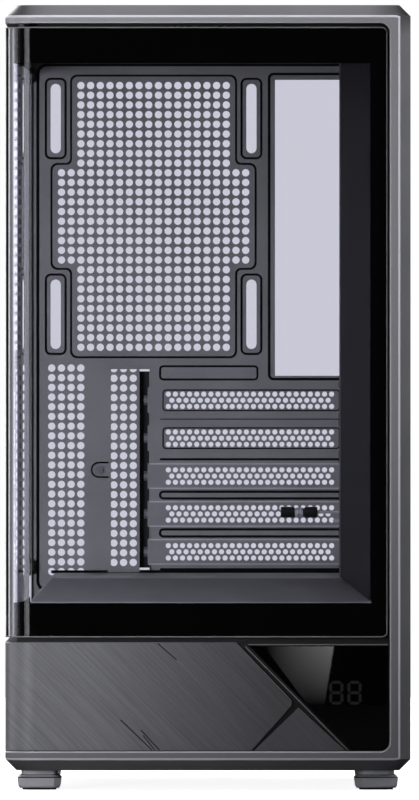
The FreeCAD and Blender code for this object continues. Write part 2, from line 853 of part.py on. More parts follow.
def chassis_roof():
    outline = rectangle(chassis_left, chassis_right, subframe_front, rear_outer)
    holes = []
    for x in spread(2, fan_hole_spacing):
        for offset in spread(2, fan_hole_spacing):
            holes.append(slot_wire(x, roof_fan_y + offset, roof_slot_length, roof_slot_width, "z",
                                   roof_underside, False))
    half = (fan_hole_spacing - roof_slot_length) / 2 - roof_vent_gap
    edge = roof_vent_across / 2
    for middle in roof_vent_y:
        for offset in spread(roof_vent_rows, roof_vent_pitch):
            y = middle + offset
            holes.append(polygon(rectangle(-half, half, y - edge, y + edge), "z", roof_underside))
    top = roof_underside + sheet
    plate = pierced(outline, holes, "z", roof_underside, top)
    front_fold = subframe_front + flange_depth + seat_gap
    rear_fold = rear_inner - flange_depth - seat_gap
    drop = roof_underside - roof_fold
    left_fold = box(chassis_left, chassis_left + sheet, front_fold, rear_fold, drop, top)
    right_fold = box(chassis_right - sheet, chassis_right, front_fold, rear_fold, drop, top)
    return joined([plate, left_fold, right_fold])


def motherboard_tray():
    low = shroud_top + seat_gap
    rear = rear_inner - seat_gap
    window_rear = rear - cpu_window_inset
    top = board_top_row + cpu_window_rise
    windows = [rectangle(window_rear - cpu_window_size, window_rear, top - cpu_window_size, top)]
    highest = roof_underside - cable_slot_drop
    slot_room = highest - shroud_top - cable_slot_rise
    for i in range(count_between(slot_room, cable_slot_height, cable_slot_pitch)):
        z = highest - cable_slot_height - i * cable_slot_pitch
        windows.append(rectangle(tray_front + cable_slot_margin, cover_rear - cable_slot_cover,
                                 z, z + cable_slot_height))
    holes = [polygon(points, "x", tray_x) for points in windows]
    holes.append(polygon(ring(tray_post_y, tray_post_z, post_thread, 8), "x", tray_x))
    plate = pierced(rectangle(tray_front, rear, low, tray_high), holes, "x", tray_x, tray_x + sheet)
    front_fold = box(tray_x, chassis_right - sheet - seat_gap, tray_front, tray_front + sheet, low, tray_high)
    low_fold = box(tray_x, tray_x + tray_low_fold, tray_front, rear, low, low + sheet)
    return joined([plate, front_fold, low_fold])


def standoff_spots():
    y0 = rear_inner - board_first_column
    lowest = shroud_top + board_low_gap
    for z in [board_top_row - row for row in board_rows if board_top_row - row > lowest]:
        for column in board_columns:
            yield y0 - column, z


def board_standoffs():
    # Hexagonal posts pressed into the tray, each with a threaded bore.
    posts = []
    for y, z in standoff_spots():
        outline = polygon(hexagon(y, z, standoff_across), "x", tray_x - standoff_height)
        bore = circle_wire(y, z, board_thread, "x", tray_x - standoff_height)
        face = Part.makeFace([outline, bore], "Part::FaceMakerBullseye")
        posts.append(face.extrude(Vec(standoff_height, 0, 0)))
    return Part.makeCompound(posts)


def shroud_block(inset, rear_end):
    # Box with its top edges at the front and the left sloped like a low hipped roof.
    x0 = shroud_left + inset
    y0 = subframe_back + seat_gap + inset
    x1 = chassis_right - sheet - seat_gap
    z1 = shroud_top - inset
    z0 = shroud_top - shroud_slope_drop - inset
    base = box(x0, x1, y0, rear_end, floor_top, z0)
    low = polygon(rectangle(x0, x1, y0, rear_end), "z", z0)
    high = polygon(rectangle(x0 + shroud_left_run, x1, y0 + shroud_slope_run, rear_end), "z", z1)
    return base.fuse(Part.makeLoft([low, high], True, True)).removeSplitter()


def psu_shroud():
    # Its front wall has a notch at the left for the fold of the subframe.
    end = rear_inner - seat_gap
    shell = shroud_block(0, end).cut(shroud_block(sheet, end))
    under = box(shroud_left - 1, right, front, back, floor_top - 1, floor_top + seat_gap)
    notch_end = chassis_left + 4 + subframe_foot + seat_gap
    notch = box(shroud_left - 1, notch_end, front, subframe_back + flange_depth - 3, floor_top, floor_top + 3)
    slots = [box(x, x + shroud_slot_length, shroud_slot_y - shroud_slot_width / 2,
                 shroud_slot_y + shroud_slot_width / 2, shroud_top - 2, shroud_top + 1) for x in shroud_slot_x]
    return shell.cut(slots + [under, notch])


def cable_cover():
    # Folded cover whose front slopes back to the tray and meets the slope of the shroud in a mitre.
    y0 = subframe_back + seat_gap
    bend = y0 + shroud_slope_run
    x1 = tray_x - seat_gap
    slope_length = math.hypot(x1 - cover_face_x, shroud_slope_run)
    across = shroud_slope_run / slope_length
    along = (x1 - cover_face_x) / slope_length
    points = [(x1, cover_rear), (cover_face_x, cover_rear), (cover_face_x, bend), (x1, y0),
              (x1, y0 + sheet / along), (cover_face_x + sheet, bend + sheet * (1 - across) / along),
              (cover_face_x + sheet, cover_rear - sheet), (x1, cover_rear - sheet)]
    cover = prism(points, "z", window_bottom, tray_high)
    return cover.cut(shroud_block(-seat_gap, rear_inner))


def tray_post():
    # A screwed-in post with a black knob, a steel collar and a black sleeve.
    x = tray_x - tray_post_length
    pieces = []
    for length, radius in tray_post_steps:
        pieces.append(peg("x", tray_post_y, tray_post_z, x, x + length, radius))
        x += length
    pieces.append(peg("x", tray_post_y, tray_post_z, x, tray_x + sheet + screw_reach, post_thread))
    return joined(pieces)


def psu_pads():
    pads = []
    half_x, half_y = psu_pad_size[0] / 2, psu_pad_size[1] / 2
    for x in (psu_x - psu_pad_spread, psu_x + psu_pad_spread):
        for set_back in psu_pad_set_back:
            y = rear_inner - set_back
            pads.append(box(x - half_x, x + half_x, y - half_y, y + half_y, floor_top, floor_top + psu_pad_height))
    return Part.makeCompound(pads)


def drive_cage():
    z0 = floor_top
    end = cage_front + cage_length
    cage_right = cage_left + cage_width
    outer = box(cage_left, cage_right, cage_front, end, z0, z0 + cage_height)
    inner = box(cage_left + sheet, cage_right - sheet, cage_front - 1, end + 1, z0 + sheet, z0 + cage_height - sheet)
    pieces = [outer.cut(inner)]
    for level in rail_levels:
        low = z0 + level
        pieces.append(box(cage_left, cage_left + sheet + rail_width, cage_front, end, low, low + sheet))
        pieces.append(box(cage_right - sheet - rail_width, cage_right, cage_front, end, low, low + sheet))
    return joined(pieces)


def drive_sled(level):
    z0 = floor_top + level + sheet + seat_gap
    x0 = cage_left + sheet + seat_gap
    x1 = cage_left + cage_width - sheet - seat_gap
    y0 = cage_front - sled_front_reach
    end = cage_front + cage_length
    outer = box(x0, x1, y0, end - 2, z0, z0 + sled_height)
    pocket = box(x0 + sled_wall, x1 - sled_wall, y0 + sled_front_wall, end, z0 + sled_base, z0 + sled_height + 1)
    grip_side = (x1 - x0) * 0.3
    grip = box(x0 + grip_side, x1 - grip_side, y0 - 1, y0 + sled_front_wall + 1,
               z0 + sled_height * 0.35, z0 + sled_height * 0.65)
    return outer.cut([pocket, grip])


def ssd_bracket():
    x0 = tray_x + sheet + seat_gap
    y0 = rear_inner - bracket_front_distance
    z0 = shroud_top + bracket_rise
    y1 = y0 + bracket_length
    z1 = z0 + bracket_height
    lip = x0 + bracket_lip
    pieces = [box(x0, x0 + sheet, y0, y1, z0, z1),
              box(x0, lip, y0, y1, z0, z0 + sheet), box(x0, lip, y0, y1, z1 - sheet, z1)]
    first_y = y0 + ssd_screw_first[0]
    first_z = z0 + ssd_screw_first[1]
    holes = []
    for y in (first_y, first_y + ssd_screw_spacing[0]):
        for z in (first_z, first_z + ssd_screw_spacing[1]):
            holes.append(peg("x", y, z, x0 - 1, x0 + sheet + 1, ssd_screw_hole))
    return joined(pieces).cut(holes)


def from_frame(place, rise=0.0):
    # A place on the lower front, measured from the right and lower inner edges of the frame.
    return frame_right - place, frame_low + rise


def lower_fascia():
    skin = bent_skin(plastic, from_frame(fascia_tip[0])[0] + 5, frame_back, fascia_bottom, fascia_top)
    low_x = from_frame(fascia_low_end)[0]
    top_x = from_frame(fascia_top_end)[0]
    corner = from_frame(*fascia_tip)
    outline = [(left - 1, fascia_bottom - 1), (low_x - 1, fascia_bottom - 1), (low_x, fascia_bottom), corner,
               (top_x, fascia_top), (top_x - 1, fascia_top + 1), (left - 1, fascia_top + 1)]
    keep = prism(outline, "y", front, frame_back + 1)
    tip = [e for e in keep.Edges if abs(e.CenterOfMass.x - corner[0]) < 0.1 and abs(e.CenterOfMass.z - corner[1]) < 0.1]
    return skin.common(keep.makeFillet(fascia_tip_round, tip))


def fascia_insert():
    ends = [(from_frame(place)[0], fascia_bottom) for place in insert_ends]
    return prism(ends + [from_frame(*insert_tip)], "y", glass_front, fascia_inner)


def display_points(grow):
    top_x = from_frame(display_top_end)[0]
    low_x = from_frame(display_low_end)[0]
    low = fascia_bottom + 0.2 - grow
    return [(top_x - 2.4 * grow, display_top + grow), (display_right + grow, display_top + grow),
            (display_right + grow, low), (low_x - 0.4 * grow, low)]


def display_window():
    plate = prism(display_points(0), "y", glass_front, glass_front + display_thickness)
    corner = [e for e in plate.Edges if abs(e.tangentAt(e.FirstParameter).y) > 0.99
              and e.CenterOfMass.x > display_right - 1 and e.CenterOfMass.z < digit_z]
    return plate.makeFillet(display_round, corner)


def display_bezel():
    # Carrier behind the fascia with the rib that parts fascia, insert and display, and the ledge on top.
    rib_front = glass_front + 0.4
    y0 = fascia_inner + 0.1
    y1 = y0 + bezel_thickness
    x0 = left + corner_round + 3
    x1 = frame_right - seat_gap
    low = frame_low
    corner_x, corner_z = from_frame(*fascia_tip)
    tip_x, tip_z = from_frame(*insert_tip)
    rib_outline = [(from_frame(fascia_top_end)[0] + rib_width, fascia_top),
                   (from_frame(display_top_end)[0] - rib_width, fascia_top),
                   (from_frame(display_low_end)[0] - rib_width, low),
                   (from_frame(insert_ends[1])[0] + rib_width, low),
                   (tip_x, tip_z + 1.5 * rib_width), (corner_x + rib_width, corner_z + rib_width * 0.6)]
    plate = box(x0, x1, y0, y1, low, fascia_top)
    rib = prism(rib_outline, "y", rib_front, y1)
    ledge = box(from_frame(fascia_top_end)[0] + 5, x1, rib_front, y1, display_top + seat_gap, ledge_top)
    side_strip = box(display_right, x1, rib_front, y1, low, ledge_top)
    hole = box(digit_centres[0] - 8, digit_centres[1] + 8, glass_front, y1 + 1, digit_z - 11, digit_z + 11)
    window = prism(display_points(0.25), "y", front, y0)
    carrier = joined([plate, rib, ledge, side_strip]).common(frame_opening(-seat_gap))
    return carrier.cut([hole, window])


def digit_segments(centre):
    # Seven thin bars with pointed ends, laid out as the figure 8.
    reach = digit_width / 2 - digit_stroke / 2
    level = digit_height / 2 - digit_stroke / 2
    half = digit_stroke / 2
    gap = 0.25
    bars = []
    for z in (-level, 0.0, level):
        bars.append([(-reach + gap, z), (-reach + gap + half, z - half), (reach - gap - half, z - half),
                     (reach - gap, z), (reach - gap - half, z + half), (-reach + gap + half, z + half)])
    for x in (-reach, reach):
        for low in (-level, 0.0):
            high = low + level
            bars.append([(x, low + gap), (x + half, low + gap + half), (x + half, high - gap - half),
                         (x, high - gap), (x - half, high - gap - half), (x - half, low + gap + half)])
    return [[(centre + a, digit_z + b) for a, b in bar] for bar in bars]


def display_digits():
    bars = []
    for centre in digit_centres:
        for bar in digit_segments(centre):
            bars.append(prism(bar, "y", digit_front, digit_front + digit_thickness))
    return Part.makeCompound(bars)


def display_board():
    y0 = digit_front + digit_thickness
    middle = (digit_centres[0] + digit_centres[1]) / 2
    half_x, half_z = display_board_size[0] / 2, display_board_size[1] / 2
    return box(middle - half_x, middle + half_x, y0, y0 + display_board_thickness, digit_z - half_z, digit_z + half_z)


def lower_left_panel():
    cut = long_edge_cut
    fold = sheet * (math.sqrt(2) - 1)
    low = body_bottom
    fold_end = chassis_left - seat_gap
    lip_end = -foot_neck_edge - seat_gap
    points = [(left, fascia_top), (left, low + cut), (left + cut, low), (lip_end, low), (lip_end, low + sheet),
              (left + cut + fold, low + sheet), (left + sheet, low + cut + fold), (left + sheet, fascia_top - sheet),
              (fold_end, fascia_top - sheet), (fold_end, fascia_top)]
    panel = prism(points, "y", cover_front, rear_outer)
    end = box(left + 0.5, fold_end, rear_inner, rear_outer, floor_underside + 6, fascia_top - 0.5)
    vents = []
    z = low + side_vent_rise
    for i in range(side_vent_count):
        y = side_vent_first + i * side_vent_pitch
        vents.append(box(left - 1, left + sheet + 1, y, y + side_vent_width, z, z + side_vent_length))
    return joined([panel, end]).cut(vents)


def right_side_panel():
    cut = long_edge_cut
    fold = sheet * (math.sqrt(2) - 1)
    low = body_bottom
    high = frame_high - slide_gap
    fold_end = chassis_right + seat_gap
    lip_end = foot_neck_edge + seat_gap
    points = [(right, high), (right, low + cut), (right - cut, low), (lip_end, low), (lip_end, low + sheet),
              (right - cut - fold, low + sheet), (right - sheet, low + cut + fold), (right - sheet, high - sheet),
              (fold_end, high - sheet), (fold_end, high)]
    panel = prism(points, "y", cover_front, rear_outer + rear_skin)
    flange = box(chassis_right - thumb_screw_inset, right - 0.5, rear_outer + seat_gap, rear_outer + rear_skin,
                 floor_underside + 6, high - 6)
    holes = [peg("y", thumb_screw_x, z, rear_inner, back, thumb_thread) for z in thumb_screw_z]
    return joined([panel, flange]).cut(holes)


def panel_thumb_screws():
    screws = []
    y0 = rear_outer + rear_skin
    for z in thumb_screw_z:
        head = peg("y", thumb_screw_x, z, y0, y0 + screw_head_height, thumb_head_round, 16)
        shank = peg("y", thumb_screw_x, z, rear_inner - screw_reach, y0 + 1, thumb_shank)
        screws.append(joined([head, shank]))
    return Part.makeCompound(screws)


def top_cover():
    cut = long_edge_cut
    inner = chassis_right - 0.9
    low = roof_underside + sheet
    leg = inner - plastic
    ceiling = height - cover_skin
    points = [(left, frame_high), (left, height - cut), (left + cut, height), (right - cut, height),
              (right, height - cut), (right, frame_high), (inner, frame_high), (inner, low), (leg, low),
              (leg, ceiling), (-leg, ceiling), (-leg, low), (-inner, low), (-inner, frame_high)]
    cover = prism(points, "y", cover_front, rear_outer)
    end = box(-leg - 0.5, leg + 0.5, rear_outer - 2, rear_outer, low, ceiling + 0.5)
    cover = joined([cover, end])
    reach = filter_half + seat_gap
    seat = box(-reach, reach, filter_front - seat_gap, filter_back + seat_gap, height - filter_thickness, height + 1)
    ledge = filter_border / 2
    through = box(-filter_half + ledge, filter_half - ledge, filter_front + ledge, filter_back - ledge,
                  ceiling - 1, height)
    return cover.cut([seat, through])


def top_dust_filter():
    low = height - filter_thickness
    middle = (filter_front + filter_back) / 2
    pitch = (filter_back - filter_front - 2 * filter_border) / filter_rows
    edge = (pitch - filter_rib) / 2
    inner = filter_half - filter_border
    holes = []
    for offset in spread(filter_rows, pitch):
        y = middle + offset
        for x0, x1 in ((-inner, -filter_rib), (filter_rib, inner)):
            holes.append(polygon(rectangle(x0, x1, y - edge, y + edge), "z", low))
    outline = rectangle(-filter_half, filter_half, filter_front, filter_back)
    return pierced(outline, holes, "z", low, height)


def foot_outline(side_x, side_y, across):
    half = across / 2
    reach = half + (foot_length - foot_width) / 2
    x = side_x * foot_x
    y = side_y * foot_y
    return cut_rectangle(x - half, x + half, y - reach, y + reach, foot_corner_cut)


def foot(side_x, side_y):
    layers = ((foot_width - 2.4, foot_pad_height), (foot_width - 1.0, foot_pad_height + 1.2),
              (foot_width, foot_shoulder - 1.2), (foot_width - 2.6, foot_shoulder))
    wires = [polygon(foot_outline(side_x, side_y, across), "z", z) for across, z in layers]
    body = Part.makeLoft(wires, True, True)
    neck = prism(foot_outline(side_x, side_y, foot_neck_width), "z", foot_shoulder - 0.5, floor_underside)
    return joined([body, neck])


def foot_pad(side_x, side_y):
    return prism(foot_outline(side_x, side_y, foot_pad_width), "z", 0, foot_pad_height)


def button(x, radius, travel):
    low = io_board_top + io_board_thickness + travel + slide_gap
    cap = peg("z", x, top_row_y, carrier_low + carrier_thick + travel + slide_gap, port_top, radius, button_sides)
    stem = peg("z", x, top_row_y, low, height - 2, button_stem)
    return joined([cap, stem])


def button_carrier():
    y0 = front + rim_inset + 1.0 + seat_gap
    x0 = reset_x - carrier_reach[0]
    x1 = power_x + carrier_reach[1]
    top = carrier_low + carrier_thick
    plate = box(x0, x1, y0, frame_back - 1, carrier_low, top)
    holes = [peg("z", x, top_row_y, carrier_low - 1, top + 1, button_stem + seat_gap) for x in (reset_x, power_x)]
    posts = [box(x, x + 3, y0, y0 + 3, carrier_low + 1, height - plastic - seat_gap) for x in (x0, x1 - 3)]
    return joined([plate] + posts).cut(holes)


def io_board():
    y0 = glass_inner_front + 0.8
    low = io_board_top - io_board_thickness
    plate = box(usb_a_x[1] - 12, power_x + carrier_reach[1], y0, frame_back - 0.6, low, io_board_top)
    switches = [box(x - 3, x + 3, top_row_y - 3, top_row_y + 3, low + 1, io_board_top + io_board_thickness)
                for x in (reset_x, power_x)]
    return joined([plate] + switches)


def usb_a_port(x):
    half_x = usb_a_size[0] / 2 - usb_wall
    half_y = usb_a_size[1] / 2 - usb_wall
    deep = height - port_depth + 2
    shell = usb_a_block(x, port_low, port_top, 0)
    pocket = box(x - half_x, x + half_x, top_row_y - half_y, top_row_y + half_y, deep, height + 1)
    tongue = box(x - half_x + 0.7, x + half_x - 0.7, top_row_y - 0.1, top_row_y + half_y - 0.6, deep - 0.5,
                 port_top - 1.2)
    return shell.cut(pocket).fuse(tongue).removeSplitter()


def usb_c_port():
    half_x = usb_c_size[0] / 2 - usb_wall
    half_y = usb_c_size[1] / 2 - usb_wall
    deep = height - port_depth + 5
    shell = usb_c_block(port_low, port_top, 0)
    mouth = cut_rectangle(usb_c_x - half_x, usb_c_x + half_x, top_row_y - half_y, top_row_y + half_y, 0.8)
    tongue = box(usb_c_x - half_x + 1, usb_c_x + half_x - 1, top_row_y - usb_wall / 2, top_row_y + usb_wall / 2,
                 deep - 0.5, port_top - 0.8)
    return shell.cut(prism(mouth, "z", deep, height + 1)).fuse(tongue).removeSplitter()


def audio_port():
    barrel = peg("z", audio_x, top_row_y, io_board_top, port_top, audio_round, button_sides)
    return barrel.cut(peg("z", audio_x, top_row_y, height - port_depth, height + 1, audio_bore, 12))


def main():
    os.makedirs("parts", exist_ok=True)
    export("front_frame", front_frame())
    export("front_subframe", front_subframe())
    export("chassis_floor", chassis_floor())
    export("chassis_roof", chassis_roof())
    export("rear_panel", rear_panel())
    export("rear_vent_grille", rear_vent_grille())
    for number, z in enumerate(slot_z, 1):
        export("slot_cover_" + str(number), slot_cover(z))
    export("slot_cover_screws", slot_cover_screws())
    export("slot_screw_cover", slot_screw_cover())
    export("screw_cover_screw", screw_cover_screw())
    export("motherboard_tray", motherboard_tray())
    export("board_standoffs", board_standoffs())
    export("cable_cover", cable_cover())
    export("tray_post", tray_post())
    export("psu_shroud", psu_shroud())
    export("psu_pads", psu_pads())
    export("drive_cage", drive_cage())
    export("drive_sled_lower", drive_sled(rail_levels[0]))
    export("drive_sled_upper", drive_sled(rail_levels[1]))
    export("ssd_bracket", ssd_bracket())
    export("glass_panel", glass_panel())
    export("glass_studs", glass_studs())
    export("stud_sockets", stud_sockets())
    export("lower_fascia", lower_fascia())
    export("fascia_insert", fascia_insert())
    export("display_bezel", display_bezel())
    export("display_window", display_window())
    export("display_board", display_board())
    export("display_digits", display_digits())
    export("lower_left_panel", lower_left_panel())
    export("right_side_panel", right_side_panel())
    export("panel_thumb_screws", panel_thumb_screws())
    export("top_cover", top_cover())
    export("top_dust_filter", top_dust_filter())
    export("psu_dust_filter", psu_dust_filter())
    for end_name, side_y in (("front", -1), ("rear", 1)):
        for side_name, side_x in (("left", -1), ("right", 1)):
            export("foot_" + end_name + "_" + side_name, foot(side_x, side_y))
            export("foot_pad_" + end_name + "_" + side_name, foot_pad(side_x, side_y))
    export("power_button", button(power_x, power_round, power_travel))
    export("reset_button", button(reset_x, reset_round, reset_travel))
    export("button_carrier", button_carrier())
    export("io_board", io_board())
    export("usb_port_left", usb_a_port(usb_a_x[1]))
    export("usb_port_right", usb_a_port(usb_a_x[0]))
    export("usb_c_port", usb_c_port())
    export("audio_port", audio_port())


main()
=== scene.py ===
import bpy
import bmesh
import json
import math
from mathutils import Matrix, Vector


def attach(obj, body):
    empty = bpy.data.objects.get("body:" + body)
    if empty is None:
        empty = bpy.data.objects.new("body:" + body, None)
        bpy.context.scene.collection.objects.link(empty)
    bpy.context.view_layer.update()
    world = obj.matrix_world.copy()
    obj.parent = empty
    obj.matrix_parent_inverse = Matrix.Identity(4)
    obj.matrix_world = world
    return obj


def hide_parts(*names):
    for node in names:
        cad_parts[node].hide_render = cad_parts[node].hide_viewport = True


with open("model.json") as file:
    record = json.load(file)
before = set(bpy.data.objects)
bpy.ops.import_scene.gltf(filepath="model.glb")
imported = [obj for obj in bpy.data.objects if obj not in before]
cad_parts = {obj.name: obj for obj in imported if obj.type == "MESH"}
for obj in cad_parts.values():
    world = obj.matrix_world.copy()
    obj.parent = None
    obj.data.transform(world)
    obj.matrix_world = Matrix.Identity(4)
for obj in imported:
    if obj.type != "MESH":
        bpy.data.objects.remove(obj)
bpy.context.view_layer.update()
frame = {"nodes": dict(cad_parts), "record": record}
scene = bpy.context.scene
mm = 0.001
record = frame["record"]


# small helpers

def toLinear(hexColour):
    digits = hexColour.lstrip("#")
    channels = [int(digits[i:i + 2], 16) / 255 for i in (0, 2, 4)]
    return tuple(c / 12.92 if c <= 0.04045 else ((c + 0.055) / 1.055) ** 2.4 for c in channels) + (1.0,)


def addNode(tree, kind, settings=None, links=None):
    # one node with its settings and incoming links; attributes go first, since they can change the sockets
    node = tree.nodes.new(kind)
    settings = settings or {}
    for key, value in settings.items():
        if isinstance(key, str) and key not in node.inputs:
            setattr(node, key, value)
    for key, value in settings.items():
        if isinstance(key, int) or key in node.inputs:
            node.inputs[key].default_value = value
    for socket, source in (links or {}).items():
        tree.links.new(source, node.inputs[socket])
    return node


def firstNode(tree, kind):
    return next(node for node in tree.nodes if node.type == kind)


def startMaterial(name, look):
    # Principled shader with its constant values set on its own sockets
    material = bpy.data.materials.new(name)
    material.use_nodes = True
    tree = material.node_tree
    tree.nodes.clear()
    shader = addNode(tree, "ShaderNodeBsdfPrincipled", look)
    addNode(tree, "ShaderNodeOutputMaterial", links={"Surface": shader.outputs[0]})
    where = addNode(tree, "ShaderNodeTexCoord").outputs["Object"]
    return material, tree, shader, where


def noiseValue(tree, where, scale, detail):
    noise = addNode(tree, "ShaderNodeTexNoise", {"Scale": scale, "Detail": detail}, {"Vector": where})
    return noise.outputs["Fac"]


def colourBand(tree, value, low, high, dark, light):
    # a value between low and high turned into a tone between two colours
    ramp = addNode(tree, "ShaderNodeValToRGB", links={"Fac": value})
    for step, position, colour in zip(ramp.color_ramp.elements, (low, high), (dark, light)):
        step.position = position
        step.color = toLinear(colour)
    return ramp.outputs["Color"]


def setRelief(tree, shader, value, strength, depth):
    # surface relief; depth in metres
    bump = addNode(tree, "ShaderNodeBump", {"Strength": strength, "Distance": depth}, {"Height": value})
    tree.links.new(bump.outputs["Normal"], shader.inputs["Normal"])


def setRoughness(tree, shader, value, low, high):
    spread = addNode(tree, "ShaderNodeMapRange", {"To Min": low, "To Max": high}, {"Value": value})
    tree.links.new(spread.outputs["Result"], shader.inputs["Roughness"])


def objectAxes(tree):
    where = addNode(tree, "ShaderNodeTexCoord").outputs["Object"]
    return addNode(tree, "ShaderNodeSeparateXYZ", links={0: where}).outputs


# materials

def paintedSurface(name, light, dark, look, grain, rough):
    # paint or moulded plastic: faint cloudiness of tone, fine grain (scale, depth in metres) and uneven gloss
    material, tree, shader, where = startMaterial(name, {"IOR": 1.5, **look})
    tone = colourBand(tree, noiseValue(tree, where, 35.0, 3.0), 0.3, 0.7, dark, light)
    tree.links.new(tone, shader.inputs["Base Color"])
    setRoughness(tree, shader, noiseValue(tree, where, 90.0, 4.0), *rough)
    scale, depth = grain
    setRelief(tree, shader, noiseValue(tree, where, scale, 2.0), 1.0, depth)
    return material


def metal(name, colour, rough, scratch, metallic=1.0, depth=0.00001):
    material, tree, shader, where = startMaterial(name, {"Metallic": metallic, "Base Color": toLinear(colour)})
    setRoughness(tree, shader, noiseValue(tree, where, 400.0, 4.0), *rough)
    setRelief(tree, shader, noiseValue(tree, where, scratch, 2.0), 1.0, depth)
    return material


def brushed(name, light, dark):
    # diagonal hairline brushing, lines about 0.8 mm apart so that they still show in the render
    material, tree, shader, where = startMaterial(name, {"Metallic": 0.35, "IOR": 1.5})
    turn = addNode(tree, "ShaderNodeMapping", {
        "vector_type": "TEXTURE", "Rotation": (0, math.radians(45.0), 0), "Scale": (1 / 25, 1 / 25, 1 / 1100)},
        {"Vector": where})
    lines = addNode(tree, "ShaderNodeTexNoise", {"Scale": 1.0, "Detail": 5.0, "Roughness": 0.7},
                    {"Vector": turn.outputs["Vector"]}).outputs["Fac"]
    tree.links.new(colourBand(tree, lines, 0.3, 0.72, dark, light), shader.inputs["Base Color"])
    setRoughness(tree, shader, lines, 0.3, 0.42)
    setRelief(tree, shader, lines, 0.6, 0.00003)
    return material


def paintLightFade(material, axis, span, shares):
    # painted light: the tint of a finish is made lighter or darker along one axis of the object, between two places
    # in metres, where light falls on it unevenly
    tree = material.node_tree
    tint = firstNode(tree, "BSDF_PRINCIPLED").inputs["Base Color"]
    share = addNode(tree, "ShaderNodeMapRange", {"From Min": span[0], "From Max": span[1], "To Min": shares[0],
                                                 "To Max": shares[1]}, {"Value": objectAxes(tree)[axis]})
    scaled = addNode(tree, "ShaderNodeVectorMath", {"operation": "SCALE"}, {3: share.outputs[0]})
    if tint.links:
        tree.links.new(tint.links[0].from_socket, scaled.inputs[0])
    else:
        scaled.inputs[0].default_value = tint.default_value[:3]
    tree.links.new(scaled.outputs[0], tint)


# where the painted shade in the frame's cut corners begins and ends, in metres from the middle
cornerShade = {"X": (0.0, 0.084, 0.101), "Z": (0.2043, 0.187, 0.199), "Y": (0.0, 0.162, 0.17)}


def shadeCorners(material):
    # painted shade: the cut corners at the front of the frame are darkened to nearly black
    tree = material.node_tree
    tint = firstNode(tree, "BSDF_PRINCIPLED").inputs["Base Color"]
    tone = tint.links[0].from_socket
    axes = objectAxes(tree)
    shares = []
    for axis, (middle, start, end) in cornerShade.items():
        away = addNode(tree, "ShaderNodeMath", {"operation": "SUBTRACT", 1: middle}, {0: axes[axis]})
        size = addNode(tree, "ShaderNodeMath", {"operation": "ABSOLUTE"}, {0: away.outputs[0]})
        shares.append(addNode(tree, "ShaderNodeMapRange", {"From Min": start, "From Max": end, "To Max": 0.95},
                              {"Value": size.outputs[0]}).outputs[0])
    corner = addNode(tree, "ShaderNodeMath", {"operation": "LESS_THAN", 1: 0.0}, {0: axes["Y"]}).outputs[0]
    for share in shares:
        corner = addNode(tree, "ShaderNodeMath", {"operation": "MULTIPLY"}, {0: corner, 1: share}).outputs[0]
    dark = addNode(tree, "ShaderNodeMix", {"data_type": "RGBA"}, {0: corner, 6: tone})
    dark.inputs[7].default_value = toLinear("#060607")
    tree.links.new(dark.outputs[2], tint)


def makeGlass():
    # lightly smoked tempered glass that lets the lamps through to the chamber
    material, tree, shader, _ = startMaterial("smokedTemperedGlass", {
        "Base Color": toLinear("#d0d0dc"), "Roughness": 0.0, "IOR": 1.5, "Transmission Weight": 1.0})
    clear = addNode(tree, "ShaderNodeBsdfTransparent", {"Color": toLinear("#e6e6e7")})
    ray = addNode(tree, "ShaderNodeLightPath")
    mixed = addNode(tree, "ShaderNodeMixShader", links={
        0: ray.outputs["Is Shadow Ray"], 1: shader.outputs[0], 2: clear.outputs[0]})
    tree.links.new(mixed.outputs[0], firstNode(tree, "OUTPUT_MATERIAL").inputs["Surface"])
    return material


def makeDisplayWindow():
    # piano black window: deep gloss with the digits only just showing through
    material, tree, shader, where = startMaterial("darkDisplayWindow", {
        "Roughness": 0.004, "IOR": 1.5, "Transmission Weight": 1.0})
    tone = colourBand(tree, noiseValue(tree, where, 25.0, 3.0), 0.35, 0.65, "#5a5a5e", "#606064")
    tree.links.new(tone, shader.inputs["Base Color"])
    return material


